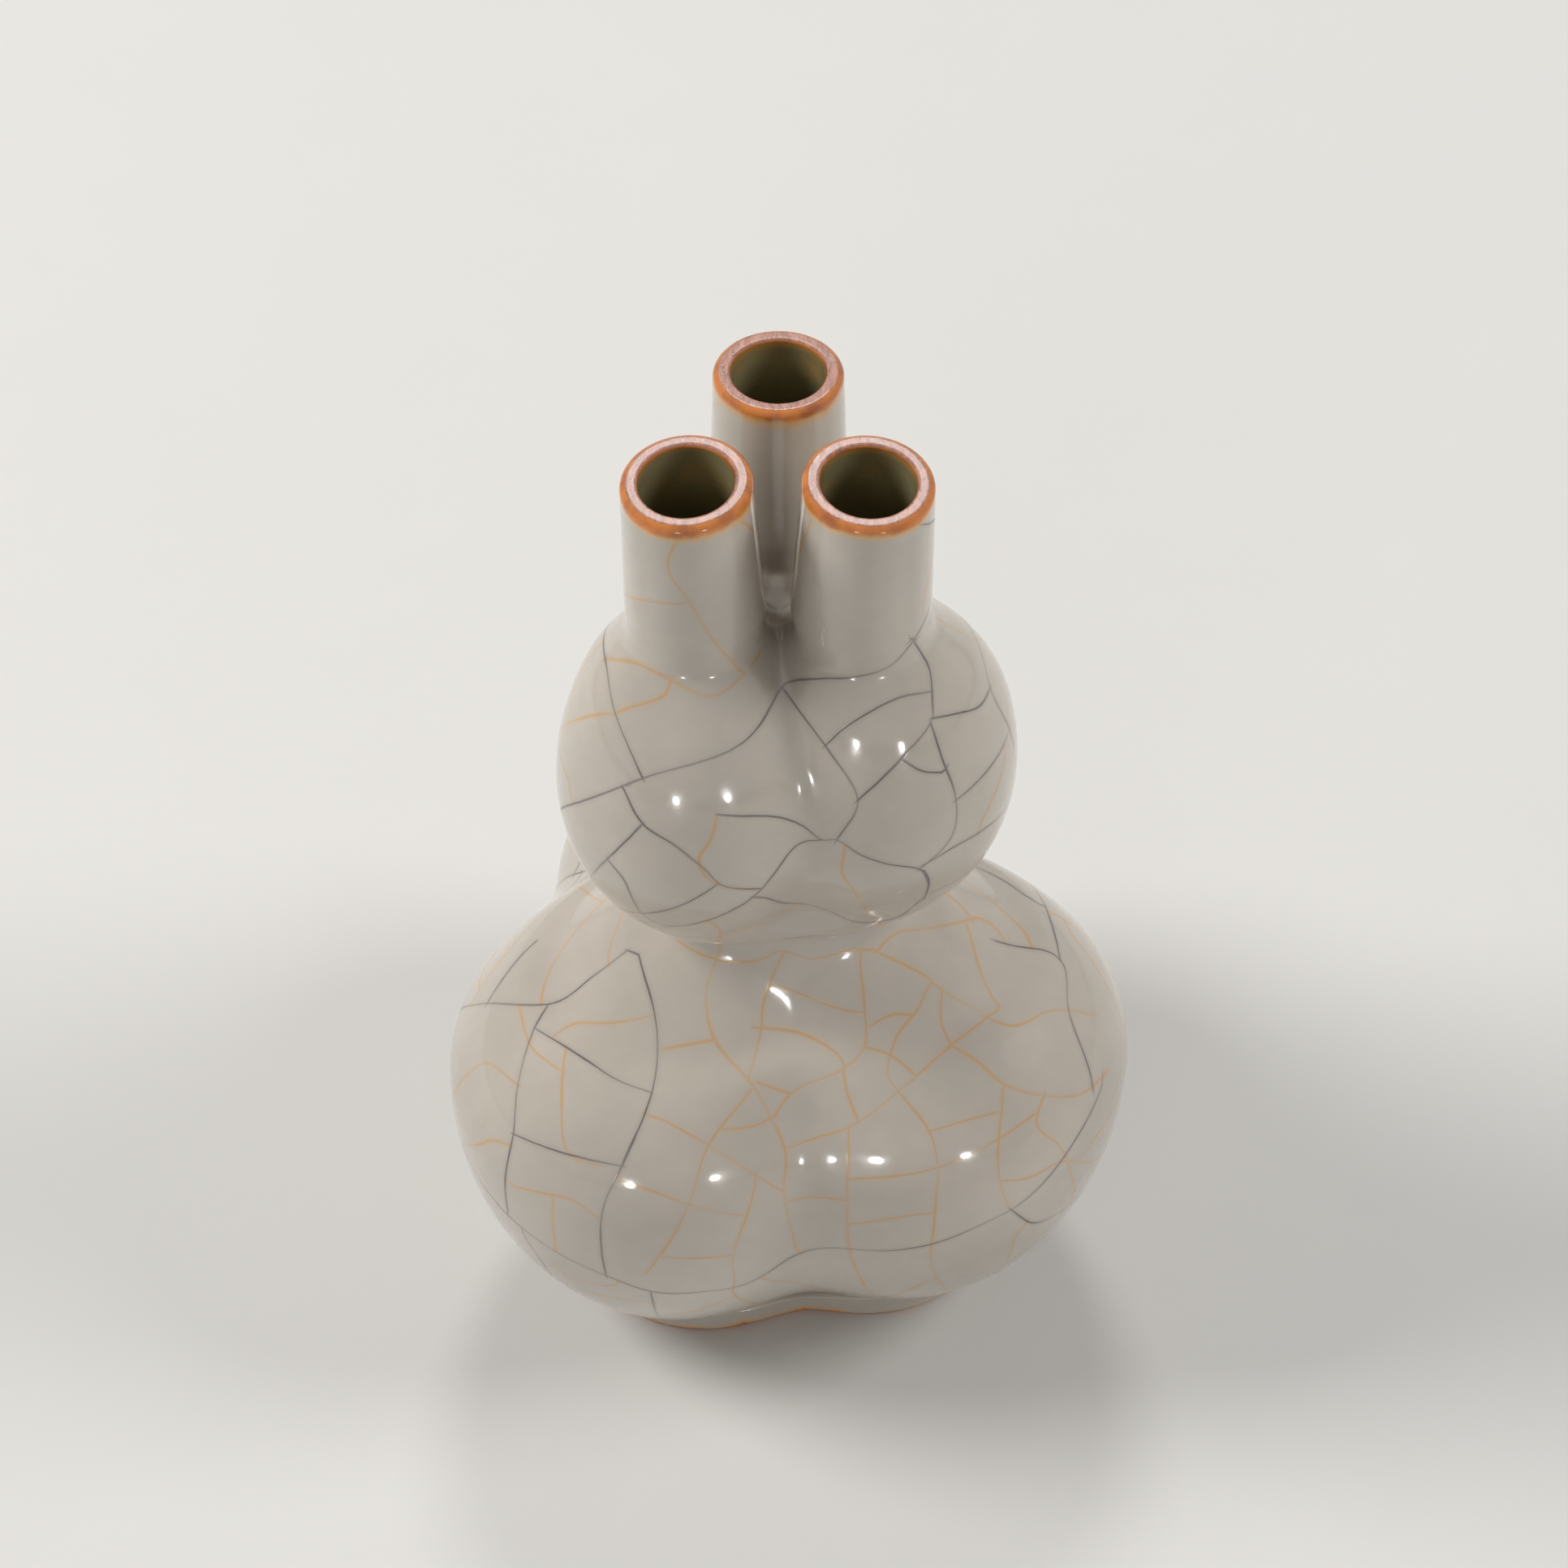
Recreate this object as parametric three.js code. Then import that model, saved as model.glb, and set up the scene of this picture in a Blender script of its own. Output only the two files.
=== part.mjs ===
// Gourd bottle: two stacked three-lobed bulbs with three short necks.
// Sizes are millimetres, +Z is up, z = 0 is the table, angles are degrees seen from above.
// The back lobe points to +Y and the two front lobes to -Y.
import * as THREE from 'three';
import { mergeVertices } from 'three/addons/utils/BufferGeometryUtils.js';

// Lower bulb: three egg-shaped lobes side by side, widest above the middle.
const LOWER_LOBE_OFFSET = 29.0;
const LOWER_BASE_OFFSET = 25.0;
const LOWER_LOBE_RADIUS = 41.1;
const LOWER_TOP_HEIGHT = 31.0;
const LOWER_BOTTOM_HEIGHT = 58.3;
const LOWER_LIFT = 0.2;
const LOWER_TURN = 6.5;
const LOWER_WALL = 4.5;
const FLOOR_THICKNESS = 4.5;

// Upper bulb, three slimmer lobes.
const UPPER_LOBE_OFFSET = 19.3;
const UPPER_LOBE_RADIUS = 26.1;
const UPPER_TOP_HEIGHT = 38.0;
const UPPER_BOTTOM_HEIGHT = 35.8;
const UPPER_TURN = 8.5;
const UPPER_WALL = 4.0;

// Waist between the bulbs: a short, nearly round column that runs on inside both.
const WAIST_RISE = 14.3;
const WAIST_DROP = 34.8;
const WAIST_LOBE_OFFSET = 12.0;
const WAIST_CROWN_RADIUS = 25.6;
const WAIST_CORE_RADIUS = 23.8;
const WAIST_WALL = 4.5;
const TWIST_REACH = 8.0;
// Angles at which the round lobes hand over to the waist, up the lower crown and up the upper one.
const LOWER_TOP_ANGLE = 66;
const UPPER_BOTTOM_ANGLE = -58;

// Necks: round tubes that lean outwards.
const NECK_ROOT_OFFSET = 17.25;
const NECK_MOUTH_OFFSET = 18.5;
const NECK_ROOT_RADIUS = 12.7;
const NECK_MOUTH_RADIUS = 11.75;
const NECK_WALL = 3.2;
const NECK_TURN = -0.5;
const NECK_ROOT_RISE = 3.6;
const NECK_FILLET = 3.0;
const NECK_LENGTH = 27.4;

// Lip: dressed ring on each neck, its top leaning with the neck.
const LIP_HEIGHT = 4.0;
const LIP_LEAN = 3.5;
const LIP_OUTER_ROUND = 1.3;
const LIP_INNER_ROUND = 0.7;

// Foot: low three-lobed ring under the lower bulb.
const FOOT_HEIGHT = 5.5;
const FOOT_LOBE_OFFSET = 19.5;
const FOOT_CROWN_RADIUS = 45.9;
const FOOT_TAPER = 0.9;
const FOOT_WIDTH = 6.5;
const FOOT_EDGE_ROUND = 1.1;
// Height over which the bulb's outline flares to meet the foot.
const FOOT_FLARE = 2.0;

// How softly neighbouring lobes run into each other, on the bulbs and at the neck roots.
const LOWER_SOFTNESS = 4.2;
const UPPER_SOFTNESS = 3.0;
const NECK_SOFTNESS = 1.5;

// Facet counts, and points that carry the crown line round each bulb.
const LOWER_POINTS = 9;
const UPPER_POINTS = 7;
const LOBE_COLUMNS = 20;
const RIDGE_STEPS = 6;
// Shoulder patch: lobe radius over offset where it starts, the gap between necks where it ends,
// and the share of a ridge after which it bends.
const JOINED_RATIO = 1.06;
const PARTING_GAP = 0.45;
const RIDGE_BEND = 0.5;
const PATCH_SHARES = [0.3, 0.6, 0.85];
const ROOT_SHARES = [0, 0.18, 0.5, 1];
const NECK_SHARES = [0, 0.15, 0.5, 1];
const NECK_COLUMNS = LOBE_COLUMNS + 2 * RIDGE_STEPS;
const LOWER_BANDS = 7;
const UPPER_BANDS = 7;
const SHOULDER_BANDS = 5;
const TABLE_STEPS = 900;
const SOLVER_STEPS = 40;

const LOBES = ['back', 'front_left', 'front_right'];
const LOBE_COUNT = LOBES.length;
const COLUMNS = LOBE_COLUMNS * LOBE_COUNT;
const LOBE_ANGLE = 360 / LOBE_COUNT;
const BACK_AZIMUTH = 90;

// Heights that follow from the sizes above.
const LOWER_MIDDLE = LOWER_LIFT + LOWER_BOTTOM_HEIGHT;
const WAIST_HEIGHT = LOWER_MIDDLE + LOWER_TOP_HEIGHT + WAIST_RISE;
const UPPER_MIDDLE = WAIST_HEIGHT + WAIST_DROP;
const UPPER_TOP = UPPER_MIDDLE + UPPER_TOP_HEIGHT;
const NECK_SEAM = UPPER_TOP + NECK_ROOT_RISE;
const LIP_SEAM = NECK_SEAM + NECK_LENGTH;
const LIP_TOP = LIP_SEAM + LIP_HEIGHT;
const FLOOR_HEIGHT = FOOT_HEIGHT + FLOOR_THICKNESS;
const FLARE_TOP = FOOT_HEIGHT + FOOT_FLARE;

const LOWER = {
  middle: LOWER_MIDDLE,
  top: LOWER_TOP_HEIGHT,
  bottom: LOWER_BOTTOM_HEIGHT,
  radius: LOWER_LOBE_RADIUS,
  offset: LOWER_LOBE_OFFSET,
};
const UPPER = {
  middle: UPPER_MIDDLE,
  top: UPPER_TOP_HEIGHT,
  bottom: UPPER_BOTTOM_HEIGHT,
  radius: UPPER_LOBE_RADIUS,
  offset: UPPER_LOBE_OFFSET,
};

// Places on the bulbs, as shares of a half height above or below the bulb's middle.
const LOWER_BOTTOM_FULL = 0.65;
const LOWER_TOP_FULL = 0.45;
const UPPER_BOTTOM_FULL = 0.62;
const UPPER_TOP_FULL = 0.6;
const TWIST_START = 0.3;
const SOFT_START = 0.2;
const SOFT_END = 0.85;

const radians = THREE.MathUtils.degToRad;
const degrees = THREE.MathUtils.radToDeg;
const mix = THREE.MathUtils.lerp;

// Eased value through a list of [height, value] knots.
function eased(knots, z) {
  if (z <= knots[0][0]) return knots[0][1];
  for (let i = 1; i < knots.length; i += 1) {
    const [z1, v1] = knots[i];
    if (z <= z1) {
      const [z0, v0] = knots[i - 1];
      return mix(v0, v1, THREE.MathUtils.smoothstep(z, z0, z1));
    }
  }
  return knots[knots.length - 1][1];
}

const OFFSET_KNOTS = [
  [FOOT_HEIGHT, FOOT_LOBE_OFFSET],
  [FLARE_TOP, LOWER_BASE_OFFSET],
  [LOWER_MIDDLE - LOWER_BOTTOM_FULL * LOWER_BOTTOM_HEIGHT, LOWER_BASE_OFFSET],
  [LOWER_MIDDLE, LOWER_LOBE_OFFSET],
  [LOWER_MIDDLE + LOWER_TOP_FULL * LOWER_TOP_HEIGHT, LOWER_LOBE_OFFSET],
  [WAIST_HEIGHT, WAIST_LOBE_OFFSET],
  [UPPER_MIDDLE - UPPER_BOTTOM_FULL * UPPER_BOTTOM_HEIGHT, UPPER_LOBE_OFFSET],
  [UPPER_MIDDLE + UPPER_TOP_FULL * UPPER_TOP_HEIGHT, UPPER_LOBE_OFFSET],
  [NECK_SEAM, NECK_ROOT_OFFSET],
];
const SOFTNESS_KNOTS = [
  [LOWER_MIDDLE, LOWER_SOFTNESS],
  [WAIST_HEIGHT, UPPER_SOFTNESS],
  [UPPER_MIDDLE + SOFT_START * UPPER_TOP_HEIGHT, UPPER_SOFTNESS],
  [UPPER_MIDDLE + SOFT_END * UPPER_TOP_HEIGHT, NECK_SOFTNESS],
];
const TURN_KNOTS = [
  [WAIST_HEIGHT - TWIST_REACH, LOWER_TURN],
  [WAIST_HEIGHT + TWIST_REACH, UPPER_TURN],
  [UPPER_MIDDLE + TWIST_START * UPPER_TOP_HEIGHT, UPPER_TURN],
  [NECK_SEAM, NECK_TURN],
];

// Share of the way from the neck's seam to its mouth.
const neckShare = (z) => (z - NECK_SEAM) / (LIP_TOP - NECK_SEAM);

function offsetAt(z) {
  if (z > NECK_SEAM) return mix(NECK_ROOT_OFFSET, NECK_MOUTH_OFFSET, neckShare(z));
  return eased(OFFSET_KNOTS, z);
}

function neckRadiusAt(z, inset) {
  return mix(NECK_ROOT_RADIUS, NECK_MOUTH_RADIUS, Math.max(0, neckShare(z))) - inset;
}

// Point [radius, height] on the crown line of a bulb, the inset giving the inner face.
function crownPoint(bulb, angle, inset) {
  const a = radians(angle);
  const half = (angle > 0 ? bulb.top : bulb.bottom) - inset;
  return [bulb.offset + (bulb.radius - inset) * Math.cos(a), bulb.middle + half * Math.sin(a)];
}

// Crown line from the foot seam to the neck seam, as a table of radius against height.
function crownTable(bottom, insets) {
  const points = [];
  const start = degrees(Math.asin((bottom - LOWER.middle) / (LOWER.bottom - insets.lower)));
  for (let k = 0; k <= LOWER_POINTS; k += 1) {
    points.push(crownPoint(LOWER, mix(start, LOWER_TOP_ANGLE, k / LOWER_POINTS), insets.lower));
  }
  points.push([WAIST_CROWN_RADIUS - insets.waist, WAIST_HEIGHT]);
  const neckCrown = NECK_ROOT_OFFSET + NECK_ROOT_RADIUS - insets.neck;
  const reach = (neckCrown + NECK_FILLET - UPPER.offset) / (UPPER.radius - insets.upper);
  const end = degrees(Math.acos(reach));
  for (let k = 0; k <= UPPER_POINTS; k += 1) {
    points.push(crownPoint(UPPER, mix(UPPER_BOTTOM_ANGLE, end, k / UPPER_POINTS), insets.upper));
  }
  const bend = points[points.length - 1][1];
  points.push([neckCrown + NECK_FILLET / 5, mix(bend, NECK_SEAM, 1 / 3)]);
  points.push([neckCrown, mix(bend, NECK_SEAM, 2 / 3)]);
  points.push([neckCrown, NECK_SEAM]);
  const curve = new THREE.CatmullRomCurve3(
    points.map(([r, z]) => new THREE.Vector3(r, 0, z)), false, 'centripetal');
  return Array.from({ length: TABLE_STEPS + 1 }, (_, i) => curve.getPoint(i / TABLE_STEPS));
}

// The waist's column fades out in the upper bulb, well below the gap between the necks.
const coreShare = (z) => (
  1 - 2 * THREE.MathUtils.smoothstep(z, UPPER_MIDDLE, UPPER_MIDDLE + UPPER_TOP_FULL * UPPER_TOP_HEIGHT));

// One face of the wall: its crown line and the radius of its waist column at any height.
function makeFace(bottom, insets) {
  const table = crownTable(bottom, insets);
  const crown = (z) => {
    if (z >= NECK_SEAM) return offsetAt(z) + neckRadiusAt(z, insets.neck);
    let low = 0;
    let high = table.length - 1;
    while (high - low > 1) {
      const middle = (low + high) >> 1;
      if (table[middle].z <= z) low = middle;
      else high = middle;
    }
    const share = (z - table[low].z) / (table[high].z - table[low].z);
    return mix(table[low].x, table[high].x, THREE.MathUtils.clamp(share, 0, 1));
  };
  const core = (z) => (WAIST_CORE_RADIUS - insets.waist) * coreShare(z);
  return { crown, core, table };
}

const OUTER = makeFace(FOOT_HEIGHT, { lower: 0, waist: 0, upper: 0, neck: 0 });
const INNER = makeFace(FLOOR_HEIGHT, {
  lower: LOWER_WALL, waist: WAIST_WALL, upper: UPPER_WALL, neck: NECK_WALL,
});

function lobeCentre(lobe, z) {
  const azimuth = radians(BACK_AZIMUTH + LOBE_ANGLE * lobe + eased(TURN_KNOTS, z));
  const offset = offsetAt(z);
  return [offset * Math.cos(azimuth), offset * Math.sin(azimuth)];
}

// Negative inside the softly joined lobes and waist column, positive outside.
function field(x, y, z, crown, core) {
  const radius = crown - offsetAt(z);
  const softness = eased(SOFTNESS_KNOTS, z);
  let sum = Math.exp((core - Math.hypot(x, y)) / softness);
  for (let lobe = 0; lobe < LOBE_COUNT; lobe += 1) {
    const [cx, cy] = lobeCentre(lobe, z);
    sum += Math.exp((radius - Math.hypot(x - cx, y - cy)) / softness);
  }
  return -softness * Math.log(sum);
}

// Halving search for the sign change of a function that rises from low to high.
function solve(low, high, test) {
  let a = low;
  let b = high;
  for (let i = 0; i < SOLVER_STEPS; i += 1) {
    const middle = (a + b) / 2;
    if (test(middle) < 0) a = middle;
    else b = middle;
  }
  return (a + b) / 2;
}

const COLUMN_START = BACK_AZIMUTH + UPPER_TURN - LOBE_ANGLE / 2;
const columnAzimuth = (column) => radians(COLUMN_START + (360 * column) / COLUMNS);

// Level outline of all three lobes around the bottle's axis.
function bodyRing(z, crown, core) {
  return Array.from({ length: COLUMNS }, (_, column) => {
    const a = columnAzimuth(column);
    const reach = solve(0, 2 * crown, (r) => field(r * Math.cos(a), r * Math.sin(a), z, crown, core));
    return new THREE.Vector3(reach * Math.cos(a), reach * Math.sin(a), z);
  });
}

// Level outline of one neck, starting on the side that faces the bottle's axis.
function neckRing(lobe, z, face) {
  const [cx, cy] = lobeCentre(lobe, z);
  const crown = face.crown(z);
  const radius = crown - offsetAt(z);
  const halfway = offsetAt(z) * Math.sin(Math.PI / LOBE_COUNT);
  const start = COLUMN_START + LOBE_ANGLE * (lobe + 0.5) + 180;
  return Array.from({ length: NECK_COLUMNS }, (_, column) => {
    const a = radians(start + (360 * column) / NECK_COLUMNS);
    const reach = solve(0.5 * radius, halfway, (r) => (
      field(cx + r * Math.cos(a), cy + r * Math.sin(a), z, crown, face.core(z))));
    return new THREE.Vector3(cx + reach * Math.cos(a), cy + reach * Math.sin(a), z);
  });
}

// Heights between two levels, evenly spaced along a face's crown line.
function levels(face, from, to, count) {
  const line = face.table.filter((p) => p.z > from && p.z < to);
  const lengths = [0];
  for (let i = 1; i < line.length; i += 1) {
    lengths.push(lengths[i - 1] + line[i].distanceTo(line[i - 1]));
  }
  const total = lengths[lengths.length - 1];
  const result = [from];
  for (let k = 1; k < count; k += 1) {
    result.push(line[lengths.findIndex((length) => length >= (total * k) / count)].z);
  }
  result.push(to);
  return result;
}

// Triangle collector that turns finished rings into a closed body.
class Skin {
  constructor() {
    this.points = [];
  }

  triangle(a, b, c) {
    this.points.push(a, b, c);
  }

  // Band between two rings of equal length, facing out when the second is above the first.
  band(lower, upper) {
    for (let i = 0; i < lower.length; i += 1) {
      const j = (i + 1) % lower.length;
      this.triangle(lower[i], lower[j], upper[j]);
      this.triangle(lower[i], upper[j], upper[i]);
    }
  }

  stack(rings) {
    for (let i = 1; i < rings.length; i += 1) this.band(rings[i - 1], rings[i]);
  }

  // Flat lid over a ring, facing up or down.
  lid(ring, up) {
    const centre = new THREE.Vector3(0, 0, ring[0].z);
    for (let i = 0; i < ring.length; i += 1) {
      const j = (i + 1) % ring.length;
      if (up) this.triangle(centre, ring[i], ring[j]);
      else this.triangle(centre, ring[j], ring[i]);
    }
  }

  geometry() {
    const flat = new Float32Array(this.points.flatMap((p) => [p.x, p.y, p.z]));
    const soup = new THREE.BufferGeometry();
    soup.setAttribute('position', new THREE.BufferAttribute(flat, 3));
    const welded = mergeVertices(soup, 1e-4);
    welded.computeVertexNormals();
    return welded;
  }
}

const bodyRings = (face, heights) => heights.map((z) => bodyRing(z, face.crown(z), face.core(z)));

// Plain wall section between two seams.
function shell(from, to, bands) {
  const outer = bodyRings(OUTER, levels(OUTER, from, to, bands));
  const inner = bodyRings(INNER, levels(INNER, from, to, bands - 1));
  const skin = new Skin();
  skin.stack([inner[0], ...outer, ...inner.reverse()]);
  return skin.geometry();
}

function bowl() {
  const flare = [FOOT_HEIGHT, (FOOT_HEIGHT + FLARE_TOP) / 2];
  const wall = levels(OUTER, FLARE_TOP, LOWER_MIDDLE, LOWER_BANDS);
  const outer = bodyRings(OUTER, [...flare, ...wall]);
  const inner = bodyRings(INNER, levels(INNER, FLOOR_HEIGHT, LOWER_MIDDLE, LOWER_BANDS - 1)).reverse();
  const skin = new Skin();
  skin.lid(outer[0], false);
  skin.stack([...outer, ...inner]);
  skin.lid(inner[inner.length - 1], true);
  return skin.geometry();
}

// Height at which lobe radius over lobe offset first falls below a ratio, going up the shoulder.
function heightWhere(face, ratio) {
  const rises = (z) => ratio - (face.crown(z) - offsetAt(z)) / offsetAt(z);
  return solve(UPPER_MIDDLE, NECK_SEAM, rises);
}

// Surface from the closed body outline up to the three separate neck outlines.
function branch(skin, face, outward) {
  const half = Math.sin(Math.PI / LOBE_COUNT);
  const bridge = NECK_SOFTNESS * Math.LN2 + PARTING_GAP;
  const joined = heightWhere(face, JOINED_RATIO);
  const parted = heightWhere(face, half - bridge / NECK_ROOT_OFFSET);
  const body = bodyRings(face, levels(face, UPPER_MIDDLE, joined, SHOULDER_BANDS));
  const edge = body[body.length - 1];
  const drop = (x, y) => solve(joined, parted, (z) => field(x, y, z, face.crown(z), face.core(z)));
  // A ridge runs out between two necks, over the saddle, and then bends to the body's column.
  const twist = radians(UPPER_TURN - eased(TURN_KNOTS, parted));
  const ridge = (column) => Array.from({ length: RIDGE_STEPS }, (_, step) => {
    const share = step / RIDGE_STEPS;
    const back = twist * Math.min(1, (1 - share) / (1 - RIDGE_BEND));
    const x = share * (edge[column].x * Math.cos(back) + edge[column].y * Math.sin(back));
    const y = share * (edge[column].y * Math.cos(back) - edge[column].x * Math.sin(back));
    return new THREE.Vector3(x, y, drop(x, y));
  });
  const put = (lower, upper) => (outward ? skin.band(lower, upper) : skin.band(upper, lower));
  for (let i = 1; i < body.length; i += 1) put(body[i - 1], body[i]);
  const tops = [];
  for (let lobe = 0; lobe < LOBE_COUNT; lobe += 1) {
    const first = LOBE_COLUMNS * lobe;
    const last = (first + LOBE_COLUMNS) % COLUMNS;
    const arc = Array.from({ length: LOBE_COLUMNS + 1 }, (_, i) => edge[(first + i) % COLUMNS]);
    const boundary = [...ridge(first), ...arc, ...ridge(last).slice(1).reverse()];
    const necks = ROOT_SHARES.map((t) => neckRing(lobe, mix(parted, NECK_SEAM, t), face));
    const rings = [boundary];
    for (const t of PATCH_SHARES) {
      rings.push(boundary.map((p, i) => {
        const x = mix(p.x, necks[0][i].x, t);
        const y = mix(p.y, necks[0][i].y, t);
        return new THREE.Vector3(x, y, drop(x, y));
      }));
    }
    rings.push(...necks);
    for (let i = 1; i < rings.length; i += 1) put(rings[i - 1], rings[i]);
    tops.push(necks[necks.length - 1]);
  }
  return { base: body[0], tops };
}

function shoulder() {
  const skin = new Skin();
  const outer = branch(skin, OUTER, true);
  const inner = branch(skin, INNER, false);
  skin.band(inner.base, outer.base);
  for (let lobe = 0; lobe < LOBE_COUNT; lobe += 1) {
    skin.band(outer.tops[lobe], inner.tops[lobe]);
  }
  return skin.geometry();
}

function neck(lobe) {
  const heights = NECK_SHARES.map((t) => mix(NECK_SEAM, LIP_SEAM, t));
  const outer = heights.map((z) => neckRing(lobe, z, OUTER));
  const inner = heights.map((z) => neckRing(lobe, z, INNER)).reverse();
  const skin = new Skin();
  skin.stack([inner[inner.length - 1], ...outer, ...inner]);
  return skin.geometry();
}

// Quarter round as [step in from the side, drop below the flat], from the side up to the flat.
const quarterRound = (radius, steps) => Array.from({ length: steps + 1 }, (_, i) => {
  const a = (Math.PI / 2) * (i / steps);
  return [radius * (1 - Math.cos(a)), radius * (1 - Math.sin(a))];
});

// Lip section as [radius change, drop below the top, which wall face it follows].
const LIP_SECTION = [
  ...quarterRound(LIP_OUTER_ROUND, 3).map(([step, drop]) => [-step, drop, OUTER]),
  ...quarterRound(LIP_INNER_ROUND, 2).reverse().map(([step, drop]) => [step, drop, INNER]),
];

function lip(lobe) {
  const lean = Math.tan(radians(LIP_LEAN));
  const [cx, cy] = lobeCentre(lobe, LIP_TOP);
  const outward = new THREE.Vector2(cx, cy).normalize();
  const leaning = (ring, share) => ring.map((p) => {
    const reach = (p.x - cx) * outward.x + (p.y - cy) * outward.y;
    return new THREE.Vector3(p.x, p.y, p.z - lean * share * reach);
  });
  const crest = LIP_SECTION.map(([change, fall, face]) => {
    const z = LIP_TOP - fall;
    const ring = neckRing(lobe, z, face).map((p) => {
      const scale = 1 + change / Math.hypot(p.x - cx, p.y - cy);
      return new THREE.Vector3(cx + (p.x - cx) * scale, cy + (p.y - cy) * scale, z);
    });
    return leaning(ring, 1);
  });
  const shoulderHeight = LIP_TOP - 2 * LIP_OUTER_ROUND;
  const low = (face) => neckRing(lobe, LIP_SEAM, face);
  const high = (face) => leaning(neckRing(lobe, shoulderHeight, face), 0.8);
  const skin = new Skin();
  skin.stack([low(INNER), low(OUTER), high(OUTER), ...crest, high(INNER), low(INNER)]);
  return skin.geometry();
}

function foot() {
  const top = FOOT_CROWN_RADIUS - FOOT_TAPER;
  const inside = FOOT_CROWN_RADIUS - FOOT_WIDTH;
  const edge = quarterRound(FOOT_EDGE_ROUND, 2);
  const section = [
    [inside - FOOT_TAPER, FOOT_HEIGHT],
    ...edge.map(([step, rise]) => [inside + step, rise]),
    ...edge.reverse().map(([step, rise]) => [FOOT_CROWN_RADIUS - step, rise]),
    [top, FOOT_HEIGHT],
  ];
  const rings = section.map(([crown, z]) => bodyRing(z, crown, WAIST_CORE_RADIUS - FOOT_WIDTH));
  const skin = new Skin();
  skin.stack([...rings, rings[0]]);
  return skin.geometry();
}

const GLAZE = { color: '#b4b1a6', roughness: 0.22, metalness: 0 };
const LIP_DRESSING = { color: '#9a6136', roughness: 0.6, metalness: 0 };
const FOOT_GLAZE = { color: '#a9a193', roughness: 0.4, metalness: 0 };

function piece(name, geometry, look) {
  const mesh = new THREE.Mesh(geometry, new THREE.MeshStandardMaterial(look));
  mesh.name = name;
  return mesh;
}

const bottle = new THREE.Group();
bottle.name = 'gourd_bottle';
bottle.add(piece('foot_ring', foot(), FOOT_GLAZE));
bottle.add(piece('lower_bulb_bowl', bowl(), GLAZE));
bottle.add(piece('lower_bulb_dome', shell(LOWER_MIDDLE, WAIST_HEIGHT, LOWER_BANDS + 1), GLAZE));
bottle.add(piece('upper_bulb_bowl', shell(WAIST_HEIGHT, UPPER_MIDDLE, UPPER_BANDS), GLAZE));
bottle.add(piece('upper_bulb_shoulder', shoulder(), GLAZE));
LOBES.forEach((side, lobe) => {
  bottle.add(piece(`neck_${side}`, neck(lobe), GLAZE));
  bottle.add(piece(`mouth_lip_${side}`, lip(lobe), LIP_DRESSING));
});

// Origin under the middle of the overall footprint.
const footprint = new THREE.Box3().setFromObject(bottle).getCenter(new THREE.Vector3());
bottle.traverse((node) => {
  if (node.isMesh) node.geometry.translate(-footprint.x, -footprint.y, 0);
});

export default bottle;
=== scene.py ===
"""Gourd bottle: two stacked three-lobed bulbs with three short necks, under a crackled grey glaze."""

import functools
import math

import bpy
import numpy as np
from bpy.props import FloatProperty, FloatVectorProperty, IntProperty, PointerProperty
from mathutils import Matrix, Vector


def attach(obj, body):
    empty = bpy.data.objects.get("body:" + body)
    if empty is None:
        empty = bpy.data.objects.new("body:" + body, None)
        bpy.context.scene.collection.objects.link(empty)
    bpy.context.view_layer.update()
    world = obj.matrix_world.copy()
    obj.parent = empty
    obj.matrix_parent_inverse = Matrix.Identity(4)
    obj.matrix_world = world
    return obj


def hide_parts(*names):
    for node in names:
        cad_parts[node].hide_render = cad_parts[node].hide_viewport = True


bl_info = {
    "name": "Gourd bottle",
    "version": (1, 0, 0),
    "blender": (4, 5, 0),
    "location": "3D View > Sidebar > Gourd bottle",
    "description": "Builds a three-lobed double gourd bottle with crackled glaze",
    "category": "Add Mesh",
}

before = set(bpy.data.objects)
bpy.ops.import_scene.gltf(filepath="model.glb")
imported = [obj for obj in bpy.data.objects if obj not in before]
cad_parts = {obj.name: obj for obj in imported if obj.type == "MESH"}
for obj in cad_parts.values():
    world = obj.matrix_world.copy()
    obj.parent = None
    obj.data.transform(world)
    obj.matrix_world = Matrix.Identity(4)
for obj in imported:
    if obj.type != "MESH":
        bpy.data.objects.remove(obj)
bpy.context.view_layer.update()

MM = 0.001
TINY = 1e-9
LOBES = ("back", "front_left", "front_right")
THIRD = 2 * math.pi / len(LOBES)

# Points round one lobe, and from the middle of the shoulder out along the ridge to a valley.
LOBE_COLUMNS = 120
RIDGE_STEPS = 36
COLUMNS = LOBE_COLUMNS * len(LOBES)
NECK_COLUMNS = LOBE_COLUMNS + 2 * RIDGE_STEPS
# Distance between rings outside and inside, and rings between the shoulder's edge and a neck.
RING_PITCH = 1.1 * MM
INSIDE_PITCH = 4.0 * MM
PATCH_RINGS, INSIDE_PATCH_RINGS = 26, 8
# Heights in the tables by height, points over a lobe's crown, and points round the footprint.
TABLE_ROWS = 6001
CROWN_STEPS = 900
FOOTPRINT_COLUMNS = 1440

# Shoulder: lobe radius over offset where the closed outline ends and where the necks' openings
# begin, the gap between necks where they part, and the share of a ridge after which it bends.
CLOSED_RATIO = 1.06
NECK_RATIO = 0.8
PARTING_GAP = 0.45 * MM
RIDGE_BEND = 0.5

# Shares of a bulb's half height at which its lobes have drawn apart, joined or turned.
BASE_SPREAD, DOME_SPREAD, BOWL_SPREAD, SHOULDER_SPREAD = 0.65, 0.45, 0.62, 0.6
SOFT_FROM, SOFT_TO, TURN_FROM = 0.2, 0.85, 0.3

GLAZE, BORE = 0, 1
# Depth below the rim, in millimetres, of a place that the rust never reaches.
FAR_FROM_RIM = 50.0


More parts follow.
